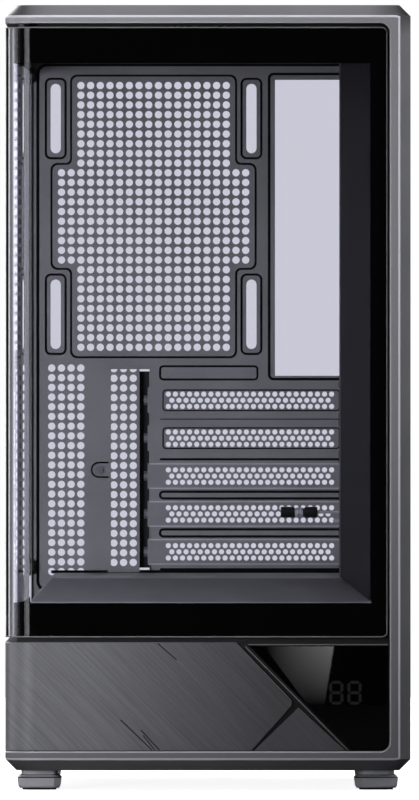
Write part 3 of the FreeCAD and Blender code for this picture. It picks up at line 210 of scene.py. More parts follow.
# finish: name, light tone, dark tone, shader values, grain (scale, depth in metres), roughness from and to
paints = {
    # satin graphite paint on moulded ABS: soft metallic sheen
    "graphite_frame": ("satinGraphitePaint", "#5a5a5e", "#535357", {"Metallic": 0.3},
                       (2600.0, 2e-5), (0.36, 0.44)),
    # black powder coat on sheet steel: fine orange peel of about 0.4 mm
    "black_steel": ("blackPowderCoat", "#7a7a7b", "#717172", {"Metallic": 0.1},
                    (2500.0, 3e-5), (0.46, 0.56)),
    # painted shade: the folded cover beside the window, which lies in shade, takes a darker copy of the wall's
    # steel
    "shaded_steel": ("shadedPowderCoat", "#202022", "#1c1c1e", {}, (2500.0, 3e-5), (0.5, 0.6)),
    # textured powder coat of the outer side panels: dull, with a coarser grain
    "panel_steel": ("texturedPowderCoat", "#3a3a3d", "#323235", {"Metallic": 0.1},
                    (1800.0, 6e-5), (0.5, 0.62)),
    # black plastic round the display, a little shinier than the steel
    "display_bezel": ("satinBlackCarrier", "#161617", "#121213", {"IOR": 1.46},
                      (2400.0, 2e-5), (0.34, 0.42)),
    # silver grey feet with a soft sheen over dull rubber pads
    "foot_plastic": ("metallicFootPlastic", "#8c8c92", "#838389", {"Metallic": 0.3},
                     (2200.0, 2e-5), (0.3, 0.38)),
    "rubber": ("softRubber", "#1b1b1c", "#141415", {}, (1600.0, 5e-5), (0.7, 0.85)),
    # nylon of sockets and sleds, and the dull dark weave of the filters
    "port_plastic": ("blackNylon", "#1c1c1d", "#151516", {"IOR": 1.53}, (2000.0, 3e-5), (0.4, 0.5)),
    "sled_plastic": ("mouldedSledPlastic", "#262628", "#1f1f21", {"IOR": 1.53}, (1500.0, 5e-5), (0.45, 0.6)),
    "filter_mesh": ("nylonFilterWeave", "#1d1d1f", "#171719", {"IOR": 1.53}, (2500.0, 3e-5), (0.5, 0.65)),
    # buttons: metal-look paint, the brightest thing on the top bar
    "button": ("satinMetallicButton", "#7d7d82", "#75757a", {"Metallic": 0.7},
               (3000.0, 1e-5), (0.24, 0.3)),
    # solder mask, almost black with a green cast
    "board": ("blackCircuitBoard", "#10140f", "#0b0f0b", {}, (1500.0, 2e-5), (0.25, 0.35)),
    # ceramic print on the inner face of the pane: flat black
    "printedBorder": ("blackCeramicPrint", "#030303", "#020202", {"Specular IOR Level": 0.0},
                      (1800.0, 1e-5), (0.5, 0.6)),
    # unlit digits, dark grey on black, with a faint painted glow so that they show through the window
    "digits": ("unlitSegmentsGlow", "#2a2a2c", "#262628", {"Emission Color": (1, 1, 1, 1),
                                                     "Emission Strength": 0.1}, (1500.0, 1e-5), (0.3, 0.4)),
    # painted highlight: a light colour on the edge of a folded sheet where it catches the light, and the ground
    # edge of the pane
    "edgeHighlight": ("foldEdgeHighlight", "#a2a2a6", "#98989c", {}, (2000.0, 1e-5), (0.4, 0.5)),
    "groundEdge": ("groundGlassEdge", "#6c6c70", "#626266", {}, (2500.0, 2e-5), (0.5, 0.6)),
    # painted shade: near-black where sheet metal is pressed, folded or gapped, in engraved lines and on the feet's
    # edges, standing in for the shade there; also the black of the rubber seal
    "shadeAndSealBlack": ("pressedShadowLine", "#070708", "#050506", {"Specular IOR Level": 0.2},
                    (2000.0, 2e-5), (0.6, 0.7)),
}
# finish: name, colour, roughness from and to, scratch scale, and for the painted ones metallic share and depth
metals = {
    "screw_steel": ("darkZincSteel", "#808084", (0.3, 0.42), 2500.0, 0.5),
    "standoff_brass": ("plainBrass", "#b89a55", (0.24, 0.34), 2500.0),
    "port_steel": ("tinnedSteel", "#a9a9ad", (0.22, 0.32), 3000.0),
    # cut edge of the frame's rim: a soft light line beside its satin face, partly the bare cut metal and partly a
    # painted highlight
    "rimCutHighlight": ("rimCutEdgeHighlight", "#b6b6bc", (0.5, 0.56), 3000.0, 0.25, 2e-6),
    "brushedRim": ("satinRimFace", "#7c7c82", (0.44, 0.52), 3000.0, 0.4, 2e-6),
}
finishes = {key: paintedSurface(*values) for key, values in paints.items()}
finishes.update((key, metal(*values)) for key, values in metals.items())
finishes["socket_nylon"] = finishes["port_plastic"]
finishes["smoked_glass"] = makeGlass()
finishes["display_gloss"] = makeDisplayWindow()
# brushed aluminium look of the fascia, and its darker insert
finishes["brushed_fascia"] = brushed("diagonalBrushedGraphite", "#6c6c71", "#545459")
finishes["brushed_insert"] = brushed("fineBrushedInsert", "#4a4a4e", "#3f3f43")
shadeCorners(finishes["graphite_frame"])
# painted light: the fascia lighter at its left, the frame and its rim lighter towards the top, as if lit from the
# left and from above
paintLightFade(finishes["brushed_fascia"], "X", (-0.06, 0.04), (1.0, 0.42))
paintLightFade(finishes["graphite_frame"], "Z", (0.0, 0.4), (0.6, 1.15))
paintLightFade(finishes["brushedRim"], "Z", (0.0, 0.4), (0.55, 1.3))
paintLightFade(finishes["rimCutHighlight"], "Z", (0.0, 0.4), (0.6, 1.1))
print("materials made:", len(finishes))

slotOf = {part["node"]: part["material_slot"] for part in record["subparts"]}
for nodeName, nodeObject in frame["nodes"].items():
    nodeObject.data.materials.clear()
    nodeObject.data.materials.append(finishes[slotOf[nodeName]])
frame["nodes"]["fascia_insert"].data.materials[0] = finishes["brushed_insert"]
# painted shade: the cable cover and the subframe behind the fascia take the darker copy of the steel
for shadedSheet in ("cable_cover", "front_subframe"):
    frame["nodes"][shadedSheet].data.materials[0] = finishes["shaded_steel"]


# meshes

def addObject(name, data):
    thing = bpy.data.objects.new(name, data)
    scene.collection.objects.link(thing)
    return thing


def smoothMesh(mesh, angle=30):
    mesh.shade_smooth()
    mesh.set_sharp_from_angle(angle=math.radians(angle))


def cadCopy(node):
    # a merged copy of a CAD node, its flat faces joined again
    shape = bmesh.new()
    shape.from_mesh(frame["nodes"][node].data)
    bmesh.ops.remove_doubles(shape, verts=shape.verts, dist=1e-6)
    bmesh.ops.dissolve_limit(shape, angle_limit=math.radians(0.5), verts=shape.verts, edges=shape.edges)
    return shape


def fromShape(name, shape, materials):
    mesh = bpy.data.meshes.new(name)
    shape.to_mesh(mesh)
    shape.free()
    for material in materials:
        mesh.materials.append(material)
    return addObject(name, mesh)


def finished(name, shape, *keys):
    # a closed form built from given points: its faces turned outward and its finishes given
    bmesh.ops.recalc_face_normals(shape, faces=shape.faces)
    return fromShape(name, shape, [finishes[key] for key in keys])


def bevelled(thing, width, segments=2, angle=30, material=-1):
    # rounds the hard edges and keeps the result as a plain mesh
    bevel = thing.modifiers.new("edges", "BEVEL")
    bevel.material = material
    bevel.width = width
    bevel.segments = segments
    bevel.limit_method = "ANGLE"
    bevel.angle_limit = math.radians(angle)
    bevel.use_clamp_overlap = True
    smoothMesh(thing.data, 40)
    flats = thing.modifiers.new("flats", "WEIGHTED_NORMAL")  # keeps the large faces flat in the light
    flats.weight = 100
    flats.keep_sharp = True
    return keepResult(thing, False)


def keepResult(thing, shade=True):
    view = bpy.context.evaluated_depsgraph_get()
    mesh = bpy.data.meshes.new_from_object(thing.evaluated_get(view))
    mesh.name = thing.name
    thing.modifiers.clear()
    thing.data = mesh
    if shade:
        smoothMesh(mesh)
    return thing


def place(thing, body, slot, *nodes):
    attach(thing, body)
    if nodes:
        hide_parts(*nodes)
    return thing


def addBox(shape, x0, x1, y0, y1, z0, z1, material=0):
    # a box in millimetres
    corners = [Vector((x, y, z)) * mm for z in (z0, z1) for y in (y0, y1) for x in (x0, x1)]
    v = [shape.verts.new(c) for c in corners]
    for loop in ((0, 2, 3, 1), (4, 5, 7, 6), (0, 1, 5, 4), (2, 6, 7, 3), (0, 4, 6, 2), (1, 3, 7, 5)):
        shape.faces.new([v[i] for i in loop]).material_index = material


# front frame with its cut rim

frameRim = {"front": -190.0, "round": 15.0, "left": -105.0, "back": -164.0, "polish": 0.65, "edge": 0.2}
frameLip = (-88.0, 93.6, -183.9, -183.4, 395.7, 398.5)  # x, y and z from and to


def onRimFront(v):
    x, y = v.co.x / mm, v.co.y / mm
    if abs(y - frameRim["front"]) < 0.01 or abs(x - frameRim["left"]) < 0.01:
        return True
    bend = frameRim["round"]
    middle = (frameRim["left"] + bend, frameRim["front"] + bend)
    away = math.hypot(x - middle[0], y - middle[1])
    return x < middle[0] and y < middle[1] and abs(away - bend) < 0.05


def buildFrame():
    shape = cadCopy("front_frame")
    rim = []
    for edge in shape.edges:
        a, b = edge.verts
        behind = min(a.co.y, b.co.y) / mm > frameRim["back"] - 0.1
        if len(edge.link_faces) == 2 and onRimFront(a) and onRimFront(b) and not behind:
            if edge.calc_face_angle(0) > math.radians(20):
                rim.append(edge)
    # the rim's cut edges are bevelled and take the painted highlight
    cut = bmesh.ops.bevel(shape, geom=rim, offset=frameRim["polish"] * mm, offset_type="OFFSET", segments=1,
                          profile=0.5, affect="EDGES")
    for face in cut["faces"]:
        face.material_index = 1
    for face in shape.faces:
        if face.material_index == 0 and all(onRimFront(v) for v in face.verts) and face.normal.z ** 2 < 0.1:
            face.material_index = 2
    thing = fromShape("front_frame_shell", shape, [finishes["graphite_frame"], finishes["rimCutHighlight"],
                                                   finishes["brushedRim"]])
    bevelled(thing, frameRim["edge"] * mm, 2, 40)
    place(thing, "case", "graphite_frame", "front_frame")


def buildLip():
    # lip under the top bar, in front of the sockets, in black plastic: painted shade in the gap under the bar
    shape = bmesh.new()
    addBox(shape, *frameLip)
    place(fromShape("frame_lip", shape, [finishes["display_bezel"]]), "case", "graphite_frame")


buildFrame()
buildLip()
print("front frame done")


def dress(node, body, width, segments=2, edge=None, inward=1.0, angle=30):
    # the CAD form with its edges softened, and those edges in their own finish if one is given
    finish = [frame["nodes"][node].data.materials[0]] + ([finishes[edge]] if edge else [])
    shape = cadCopy(node)
    outer = max((v.co.x for v in shape.verts), key=abs)
    for v in shape.verts:
        v.co.x = outer + (v.co.x - outer) * inward
    thing = fromShape(node + "_shell", shape, finish)
    bevelled(thing, width * mm, segments, angle, 1 if edge else -1)
    return place(thing, body, slotOf[node], node)


dress("top_cover", "case", 0.3)
dress("lower_fascia", "case", 0.3)
dress("fascia_insert", "case", 0.25)
dress("display_window", "case", 0.4, 3)
dress("glass_panel", "glass", 0.6, 2, "groundEdge")
# the shroud's bevelled edges take the painted highlight
dress("psu_shroud", "case", 0.5, 2, "edgeHighlight")
dress("cable_cover", "case", 0.35)


coverSeam = {"low": (84.0, -162.2, 97.9), "high": (69.0, -46.0, 110.0),
             "side": (-0.7, -0.15, 0.7), "lift": (-0.3, -0.5, 0.3)}


def buildCoverSeam():
    # painted highlight: a light strip along the fold where the cable cover meets the sloped shroud; painted shade:
    # the left end of that slope in the darker steel
    shape = bmesh.new()
    low, high, side, lift = (Vector(coverSeam[key]) for key in ("low", "high", "side", "lift"))
    ends = [[shape.verts.new((end + a * side + b * lift) * mm) for a, b in ((0, 0), (1, 0), (1, 1), (0, 1))]
            for end in (low, high)]
    shape.faces.new(ends[0])
    shape.faces.new(ends[1][::-1])
    for i in range(4):
        j = (i + 1) % 4
        shape.faces.new((ends[0][j], ends[0][i], ends[1][i], ends[1][j]))
    place(finished("seam_highlight_strip", shape, "edgeHighlight"), "case", "black_steel")
    # painted shade: the faces of the slope's left end take the darker steel
    shroud = bpy.data.objects["psu_shroud_shell"].data
    shroud.materials.append(finishes["shaded_steel"])
    for face in shroud.polygons:
        if face.normal.x < -0.3 and face.center.x < -80 * mm and face.center.z > 90 * mm:
            face.material_index = 2


buildCoverSeam()
dress("right_side_panel", "side_panel", 0.25)
dress("lower_left_panel", "case", 0.25)
# the feet's edges take the near-black, a painted shade
for corner in ("front_left", "front_right", "rear_left", "rear_right"):
    inward = 0.9 if "rear" in corner else 1.0  # the rear feet are a little slimmer on their inner side
    dress("foot_" + corner, "case", 0.3, 2, "shadeAndSealBlack", inward, 50)
    dress("foot_pad_" + corner, "case", 0.2, inward=inward)
dress("power_button", "power", 0.3)
dress("reset_button", "reset", 0.3)
print("softened copies done")


# engraved lines of the fascia, near-black as painted shade in the grooves, and the fine trims round the display,
# light ridges that carry a painted highlight

fasciaLines = {"face": -188.0, "engravedWidth": 0.55, "engravedDepths": (-0.06, 0.3),
               "ridgeWidth": 0.45, "ridgeDepths": (0.1, 0.8),
               "engraved": (((-25.8, 76.2), (-16.1, 67.7)), ((-45.1, 36.6), (-29.0, 21.1)),
                            ((-34.7, 31.4), (-25.0, 21.0)), ((-33.5, 28.6), (-27.5, 21.0))),
               "ridge": (((21.0, 75.6), (93.4, 75.6)), ((19.4, 74.6), (72.6, 20.9)))}


def addStroke(shape, start, end, width, y0, y1):
    # a straight bar from one (x, z) to another, between two depths
    along = Vector((end[0] - start[0], end[1] - start[1])).normalized()
    across = Vector((-along.y, along.x)) * width / 2
    spots = [(start[0] + across.x, start[1] + across.y), (start[0] - across.x, start[1] - across.y),
             (end[0] - across.x, end[1] - across.y), (end[0] + across.x, end[1] + across.y)]
    near = [shape.verts.new((x * mm, y0 * mm, z * mm)) for x, z in spots]
    far = [shape.verts.new((x * mm, y1 * mm, z * mm)) for x, z in spots]
    shape.faces.new(near)
    shape.faces.new(far[::-1])
    for i in range(4):
        j = (i + 1) % 4
        shape.faces.new((near[j], near[i], far[i], far[j]))


def buildFasciaLines():
    f = fasciaLines
    for name, lines, finish, slot in (("fascia_engraving", "engraved", "shadeAndSealBlack", "brushed_fascia"),
                                      ("display_ridge_highlight", "ridge", "brushedRim", "display_bezel")):
        shape = bmesh.new()
        for start, end in f[lines]:
            addStroke(shape, start, end, f[lines + "Width"], *(f["face"] + depth for depth in f[lines + "Depths"]))
        place(finished(name, shape, finish), "case", slot)


buildFasciaLines()
print("fascia lines done")


# black print on the pane

panePrint = {"right": 93.1, "clearRight": 84.6, "clearLow": 97.1, "clearHigh": 376.6,
             "low": 79.3, "high": 395.4, "back": 181.9, "rearBand": 14.0, "faceY": -183.95, "faceX": -100.95,
             "bend": 11.0, "steps": 14, "margin": 0.3, "thick": 0.1}


def panePath():
    # points along the inner face of the pane, from its right end round the bend to its rear end
    p = panePrint
    cx, cy = p["faceX"] + p["bend"], p["faceY"] + p["bend"]
    points = [(p["right"] - p["margin"], p["faceY"]), (p["clearRight"], p["faceY"]), (cx, p["faceY"])]
    for i in range(1, p["steps"]):
        turn = math.pi / 2 * i / p["steps"]
        points.append((cx - p["bend"] * math.sin(turn), cy - p["bend"] * math.cos(turn)))
    return points + [(p["faceX"], y) for y in (cy, p["back"] - p["rearBand"], p["back"] - p["margin"])]


def buildPrint():
    p = panePrint
    path = panePath()
    levels = [p["low"] + p["margin"], p["clearLow"], p["clearHigh"], p["high"] - p["margin"]]
    mesh = bpy.data.meshes.new("pane_print")
    verts = [(x * mm, y * mm, z * mm) for z in levels for x, y in path]
    count = len(path)
    faces = []
    for row in range(3):
        for i in range(count - 1):
            if row == 1 and 0 < i < count - 2:
                continue  # the clear field of the pane
            a = row * count + i
            faces.append((a + 1, a, a + count, a + count + 1))
    mesh.from_pydata(verts, [], faces)
    mesh.materials.append(finishes["printedBorder"])
    thing = addObject("pane_print", mesh)
    skin = thing.modifiers.new("film", "SOLIDIFY")
    skin.thickness = p["thick"] * mm
    skin.offset = -1
    keepResult(thing)
    return place(thing, "glass", "smoked_glass")


buildPrint()
print("pane print done")


# perforated sheets by geometry nodes

def holeFieldTree():
    # a grid of circles as curves: the holes of a perforated sheet
    tree = bpy.data.node_groups.new("holeField", "GeometryNodeTree")
    face = tree.interface
    face.new_socket("Geometry", in_out="OUTPUT", socket_type="NodeSocketGeometry")
    for name, kind, value in (("Columns", "Int", 4), ("Rows", "Int", 4), ("Centre", "Vector", (0, 0, 0)),
                              ("Pitch across", "Float", 0.005), ("Pitch up", "Float", 0.005),
                              ("Hole radius", "Float", 0.002), ("Hole sides", "Int", 12)):
        face.new_socket(name, in_out="INPUT", socket_type="NodeSocket" + kind).default_value = value
    given = addNode(tree, "NodeGroupInput").outputs
    def times(count, pitch):
        less = addNode(tree, "ShaderNodeMath", {"operation": "SUBTRACT", 1: 1.0}, {0: given[count]})
        size = addNode(tree, "ShaderNodeMath", {"operation": "MULTIPLY"}, {0: less.outputs[0], 1: given[pitch]})
        return size.outputs[0]
    grid = addNode(tree, "GeometryNodeMeshGrid", links={
        "Size X": times("Columns", "Pitch across"), "Size Y": times("Rows", "Pitch up"),
        "Vertices X": given["Columns"], "Vertices Y": given["Rows"]})
    circle = addNode(tree, "GeometryNodeCurvePrimitiveCircle", links={
        "Resolution": given["Hole sides"], "Radius": given["Hole radius"]})
    copies = addNode(tree, "GeometryNodeInstanceOnPoints", links={
        "Points": grid.outputs["Mesh"], "Instance": circle.outputs["Curve"]})
    real = addNode(tree, "GeometryNodeRealizeInstances", links={"Geometry": copies.outputs[0]})
    moved = addNode(tree, "GeometryNodeTransform", links={
        "Geometry": real.outputs[0], "Translation": given["Centre"]})
    addNode(tree, "NodeGroupOutput", links={"Geometry": moved.outputs[0]})
    return tree


fieldTree = holeFieldTree()


def sheetTree(name, fields, material, lying, sides):
    # outline edges and hole fields are filled, given a thickness and stood up
    tree = bpy.data.node_groups.new(name, "GeometryNodeTree")
    face = tree.interface
    face.new_socket("Geometry", in_out="OUTPUT", socket_type="NodeSocketGeometry")
    face.new_socket("Outline", in_out="INPUT", socket_type="NodeSocketGeometry")
    for size in ("Thickness", "Depth", "Hole radius"):
        face.new_socket(size, in_out="INPUT", socket_type="NodeSocketFloat")
    given = addNode(tree, "NodeGroupInput").outputs
    outline = addNode(tree, "GeometryNodeMeshToCurve", links={"Mesh": given["Outline"]})
    curves = addNode(tree, "GeometryNodeJoinGeometry")
    tree.links.new(outline.outputs[0], curves.inputs[0])
    for columns, rows, x, z, across, up in fields:
        holes = addNode(tree, "GeometryNodeGroup", {"node_tree": fieldTree})
        for socket, value in (("Columns", columns), ("Rows", rows), ("Centre", (x * mm, z * mm, 0)),
                              ("Hole sides", sides), ("Pitch across", across * mm), ("Pitch up", up * mm)):
            holes.inputs[socket].default_value = value
        tree.links.new(given["Hole radius"], holes.inputs["Hole radius"])
        tree.links.new(holes.outputs[0], curves.inputs[0])
    filled = addNode(tree, "GeometryNodeFillCurve", links={0: curves.outputs[0]})
    along = addNode(tree, "ShaderNodeCombineXYZ", links={"Z": given["Thickness"]})
    raised = addNode(tree, "GeometryNodeExtrudeMesh", {"Individual": False}, {
        "Mesh": filled.outputs[0], "Offset": along.outputs[0]})
    under = addNode(tree, "GeometryNodeFlipFaces", links={0: filled.outputs[0]})
    both = addNode(tree, "GeometryNodeJoinGeometry")
    tree.links.new(raised.outputs["Mesh"], both.inputs[0])
    tree.links.new(under.outputs[0], both.inputs[0])
    welded = addNode(tree, "GeometryNodeMergeByDistance", {"Distance": 1e-6}, {0: both.outputs[0]})
    axis = "Z" if lying else "Y"
    shift = addNode(tree, "ShaderNodeCombineXYZ", links={axis: given["Depth"]})
    stood = addNode(tree, "GeometryNodeTransform", links={"Geometry": welded.outputs[0],
                                                          "Translation": shift.outputs[0]})
    if not lying:
        stood.inputs["Rotation"].default_value = (math.radians(90), 0, 0)
    real = addNode(tree, "GeometryNodeRealizeInstances", links={"Geometry": stood.outputs[0]})
    painted = addNode(tree, "GeometryNodeSetMaterial", {"Material": material}, {"Geometry": real.outputs[0]})
    addNode(tree, "NodeGroupOutput", links={"Geometry": painted.outputs[0]})
    return tree


def perforatedSheet(name, loops, fields, radius, thickness, depth, finish="black_steel", lying=False, sides=12):
    # loops: closed outlines in millimetres, the first the edge of the sheet and the rest openings
    # fields: columns, rows, the middle across and up, and the two pitches of each group of holes
    mesh = bpy.data.meshes.new(name)
    verts, edges = [], []
    for loop in loops:
        first = len(verts)
        verts += [(a * mm, b * mm, 0) for a, b in loop]
        edges += [(first + i, first + (i + 1) % len(loop)) for i in range(len(loop))]
    mesh.from_pydata(verts, edges, [])
    thing = addObject(name, mesh)
    nodes = thing.modifiers.new("sheet", "NODES")
    nodes.node_group = sheetTree(name + "Tree", fields, finishes[finish], lying, sides)
    sizes = {"Thickness": thickness * mm, "Depth": depth * mm, "Hole radius": radius * mm}
    for item in nodes.node_group.interface.items_tree:
        if item.name in sizes and item.in_out == "INPUT":
            nodes[item.identifier] = sizes[item.name]
    return keepResult(thing)


def rectangle(x0, x1, z0, z1):
    return [(x0, z0), (x1, z0), (x1, z1), (x0, z1)]


def roundSlot(x, z, width, length, steps=8):
    # upright slot with round ends
    half, reach = width / 2, length / 2 - width / 2
    loop = [(x + half * math.cos(math.pi * i / steps), z + reach + half * math.sin(math.pi * i / steps))
            for i in range(steps + 1)]
    loop += [(x - half * math.cos(math.pi * i / steps), z - reach - half * math.sin(math.pi * i / steps))
             for i in range(steps + 1)]
    return loop


def roundRectangle(x0, x1, z0, z1, r, steps=5):
    loop = []
    for cx, cz, start in ((x1 - r, z1 - r, 0), (x0 + r, z1 - r, 90), (x0 + r, z0 + r, 180), (x1 - r, z0 + r, 270)):
        for i in range(steps + 1):
            turn = math.radians(start + 90 * i / steps)
            loop.append((cx + r * math.cos(turn), cz + r * math.sin(turn)))
    return loop


def circle(x, z, r, sides=16):
    turns = [2 * math.pi * i / sides for i in range(sides)]
    return [(x + r * math.cos(turn), z + r * math.sin(turn)) for turn in turns]


def join(name, things):
    # several plain meshes made one
    shape = bmesh.new()
    materials = []
    for thing in things:
        for material in thing.data.materials:
            if material not in materials:
                materials.append(material)
        lookup = [materials.index(m) for m in thing.data.materials]
        before = len(shape.faces)
        shape.from_mesh(thing.data)
        shape.faces.ensure_lookup_table()
        for face in shape.faces[before:]:
            face.material_index = lookup[face.material_index]
        bpy.data.objects.remove(thing)
    whole = fromShape(name, shape, materials)
    smoothMesh(whole.data)
    return whole


# rear wall

rearWall = {"half": 98.9, "low": 15.7, "high": 392.7, "thick": 1.0, "flange": 15.0, "flangeFoot": 6.0,
            "cover": 181.9, "inner": 182.9, "outer": 183.9,  # planes of the covers' front and the two sheets
            "hole": 2.0, "pitch": 5.2, "strip": (4, 22, -75.95, 164.75), "io": (36.05, 80.5, 215.2, 373.95),
            "access": (-52.0, -31.3, 111.1, 218.7), "channelBack": 5.6, "lugScrew": (-58.5, 164.9, 1.3),
            "thumbX": 94.0, "thumbZ": (40.0, 368.0), "thumbHole": 1.9,
            "seal": (-100.6, -98.9, 181.4, 110.0, 392.0)}
fan = {"x": -29.1, "z": 300.7, "narrow": 43.7, "wide": 54.2, "tall": 75.0, "step": 27.6, "inset": 2.0,
       "slotAway": 52.5, "slotWidth": 5.5, "slotLength": 37.3, "frameWidth": 5.3, "frameLength": 21.3,
       "holes": (16, 28), "wingHoles": (2, 10), "wingX": 46.8}
psuOpening = {"half": 67.0, "low": 26.4, "high": 96.4, "cut": 14.0, "hole": 2.0,
              "screws": ((-69.0, 34.4), (-69.0, 98.4), (69.0, 98.4), (45.0, 24.4))}
slots = {"first": 202.04, "pitch": 20.32, "tall": 11.4, "ends": (-25.5, 75.0), "plate": (-32.3, 80.0),
         "half": 6.9, "hole": 1.4, "holesX": 22.6, "holePitch": 3.81, "rows": ((24, -3.3), (23, 0.0), (24, 3.3)),
         "notch": 1.9, "notchBack": 1.0, "line": (-24.0, 70.6, 5.5, 1.6), "lineWidth": 0.7}
# pressed lines that run round a field, near-black as painted shade: its box, corner radius and line width
pressedBands = (((-91.2, 97.0, 100.0, 382.0), 5.0, 1.6), ((32.9, 84.0, 213.4, 377.1), 2.4, 1.4),
                ((-25.6, 26.6, 213.2, 220.3), 1.7, 1.1), ((-25.6, 76.0, 149.4, 153.0), 1.7, 1.3),
                ((-25.6, 76.0, 129.0, 132.8), 1.7, 1.3))
# straight gaps filled with near-black as painted shadow: x and z from and to, then depth; the last two lie over the
# shroud and beside the covers
shadowGaps = ((-25.6, 78.0, 191.7, 192.2, 0.3), (-25.6, 78.0, 169.8, 171.0, 0.3),
              (-25.6, 78.0, 110.9, 112.0, 0.3), (-84.0, 78.0, 109.2, 110.9, 0.35), (70.2, 71.8, 109.2, 212.0, 0.35))
dimples = ((-95.6, 376.1), (-95.6, 112.7))


def ventLoop(inset, r=3.0):
    narrow, wide, tall, step = (fan[key] - inset for key in ("narrow", "wide", "tall", "step"))
    points = [(-narrow, -tall), (narrow, -tall), (narrow, -step), (wide, -step), (wide, step), (narrow, step),
              (narrow, tall), (-narrow, tall), (-narrow, step), (-wide, step), (-wide, -step), (-narrow, -step)]
    return rounded([(fan["x"] + a, fan["z"] + b) for a, b in points], r)


def fanSlotSpots():
    away = fan["slotAway"]
    return [(fan["x"] + a, fan["z"] + b) for a in (-away, away) for b in (-away, away)]


def rounded(points, r, steps=4):
    # the corners of an outline turned into short arcs
    loop = []
    for i, (x, z) in enumerate(points):
        here = Vector((x, z))
        before = (Vector(points[i - 1]) - here).normalized()
        after = (Vector(points[(i + 1) % len(points)]) - here).normalized()
        middle = here + (before + after) * r
        start, end = here + before * r - middle, here + after * r - middle
        for k in range(steps + 1):
            turn = math.pi / 2 * k / steps
            spot = middle + start * math.cos(turn) + end * math.sin(turn)
            loop.append((spot.x, spot.y))
    return loop


def offsetLoop(loop, away):
    # the outline moved sideways by a distance: inwards when it runs anticlockwise
    moved = []
    for i, point in enumerate(loop):
        here = Vector(point)
        before = (here - Vector(loop[i - 1])).normalized()
        after = (Vector(loop[(i + 1) % len(loop)]) - here).normalized()
        across = Vector((-(before.y + after.y), before.x + after.x)).normalized()
        reach = away / max(0.5, across.dot(Vector((-before.y, before.x))))
        moved.append((here.x + across.x * reach, here.y + across.y * reach))
    return moved


def addBand(shape, loop, width, face, proud=0.25, material=0):
    # a pressed line that follows an outline: a shallow ridge of the given width
    inner, outer = offsetLoop(loop, width / 2), offsetLoop(loop, -width / 2)
    rings = []
    for points, y in ((outer, face), (outer, face - proud), (inner, face - proud), (inner, face)):
        rings.append([shape.verts.new((x * mm, y * mm, z * mm)) for x, z in points])
    count = len(loop)
    for a, b in ((0, 1), (1, 2), (2, 3), (3, 0)):
        for i in range(count):
            j = (i + 1) % count
            shape.faces.new((rings[a][i], rings[a][j], rings[b][j], rings[b][i])).material_index = material


def wallSheet():
    w, p = rearWall, psuOpening
    loops = [rectangle(-w["half"], w["half"], w["low"], w["high"]), ventLoop(fan["inset"])]
    loops += [roundSlot(x, z, fan["slotWidth"], fan["slotLength"]) for x, z in fanSlotSpots()]
    loops.append(rectangle(*w["io"]))
    for number in range(5):
        z = slots["first"] - number * slots["pitch"]
        loops.append(rectangle(*slots["ends"], z - slots["tall"] / 2, z + slots["tall"] / 2))
    loops.append(rectangle(*w["access"]))
    half, low, high, cut = p["half"], p["low"], p["high"], p["cut"]
    loops.append([(-half, low + cut), (-half + cut, low), (half - 2 * cut, low), (half, low + cut),
                  (half, high - cut), (half - cut, high), (-half + cut, high), (-half, high - cut)])
    loops += [circle(x, z, p["hole"]) for x, z in p["screws"]]
    loops += [circle(w["thumbX"], z, w["thumbHole"]) for z in w["thumbZ"]] + [circle(*w["lugScrew"], 12)]
    return perforatedSheet("rear_sheet", loops, [(*w["strip"], w["pitch"], w["pitch"])], w["hole"], w["thick"],
                           w["outer"])


def wallFolds():
    # flanges round the wall, and the edge beside the covers' screws
    w = rearWall
    shape = bmesh.new()
    half, thick, high, foot = w["half"], w["thick"], w["high"], w["low"] + w["flangeFoot"]
    fold = w["inner"] - w["flange"]
    addBox(shape, -half, -half + thick, fold, w["inner"], foot, high)
    addBox(shape, half - thick, half, fold, w["inner"], foot, high)
    addBox(shape, -half, half, fold, w["inner"], high - thick, high)
    _, x, low, top = w["access"]
    addBox(shape, x, x + thick, w["inner"], w["outer"] + w["channelBack"], low, top)
    return fromShape("rear_folds", shape, [finishes["black_steel"]])


def wallLines():
    w = rearWall
    face = w["inner"]
    shape = bmesh.new()
    x0, x1, front, z0, z1 = w["seal"]  # rubber seal behind the pane's rear end
    addBox(shape, x0, x1, front, w["outer"], z0, z1)
    # the pressed lines, gaps and dimples are near-black, a painted shade
    addBand(shape, ventLoop(-0.4), 1.4, face, 0.3)
    for x, z in fanSlotSpots():
        a, b = fan["frameWidth"], fan["frameLength"]
        addBand(shape, roundRectangle(x - a, x + a, z - b, z + b, 2.7), 1.2, face)
    for box, corner, width in pressedBands:
        addBand(shape, roundRectangle(*box, corner), width, face)
    for x0, x1, z0, z1, depth in shadowGaps:
        addBox(shape, x0, x1, face - depth, face, z0, z1)
    for spot in dimples:
        addBand(shape, circle(*spot, 1.7, 12), 0.7, face)
    return finished("rear_lines", shape, "shadeAndSealBlack")


def buildRearWall():
    wall = join("rear_wall", [wallSheet(), wallFolds(), wallLines()])
    place(wall, "case", "black_steel", "rear_panel")


def buildVent():
    w = rearWall
    fields = [(*fan["holes"], fan["x"], fan["z"], w["pitch"], w["pitch"])]
    for side in (-1, 1):
        fields.append((*fan["wingHoles"], fan["x"] + side * fan["wingX"], fan["z"], w["pitch"], w["pitch"]))
    vent = perforatedSheet("vent_grille", [ventLoop(0)], fields, w["hole"], w["thick"], w["inner"])
    place(vent, "case", "black_steel", "rear_vent_grille")


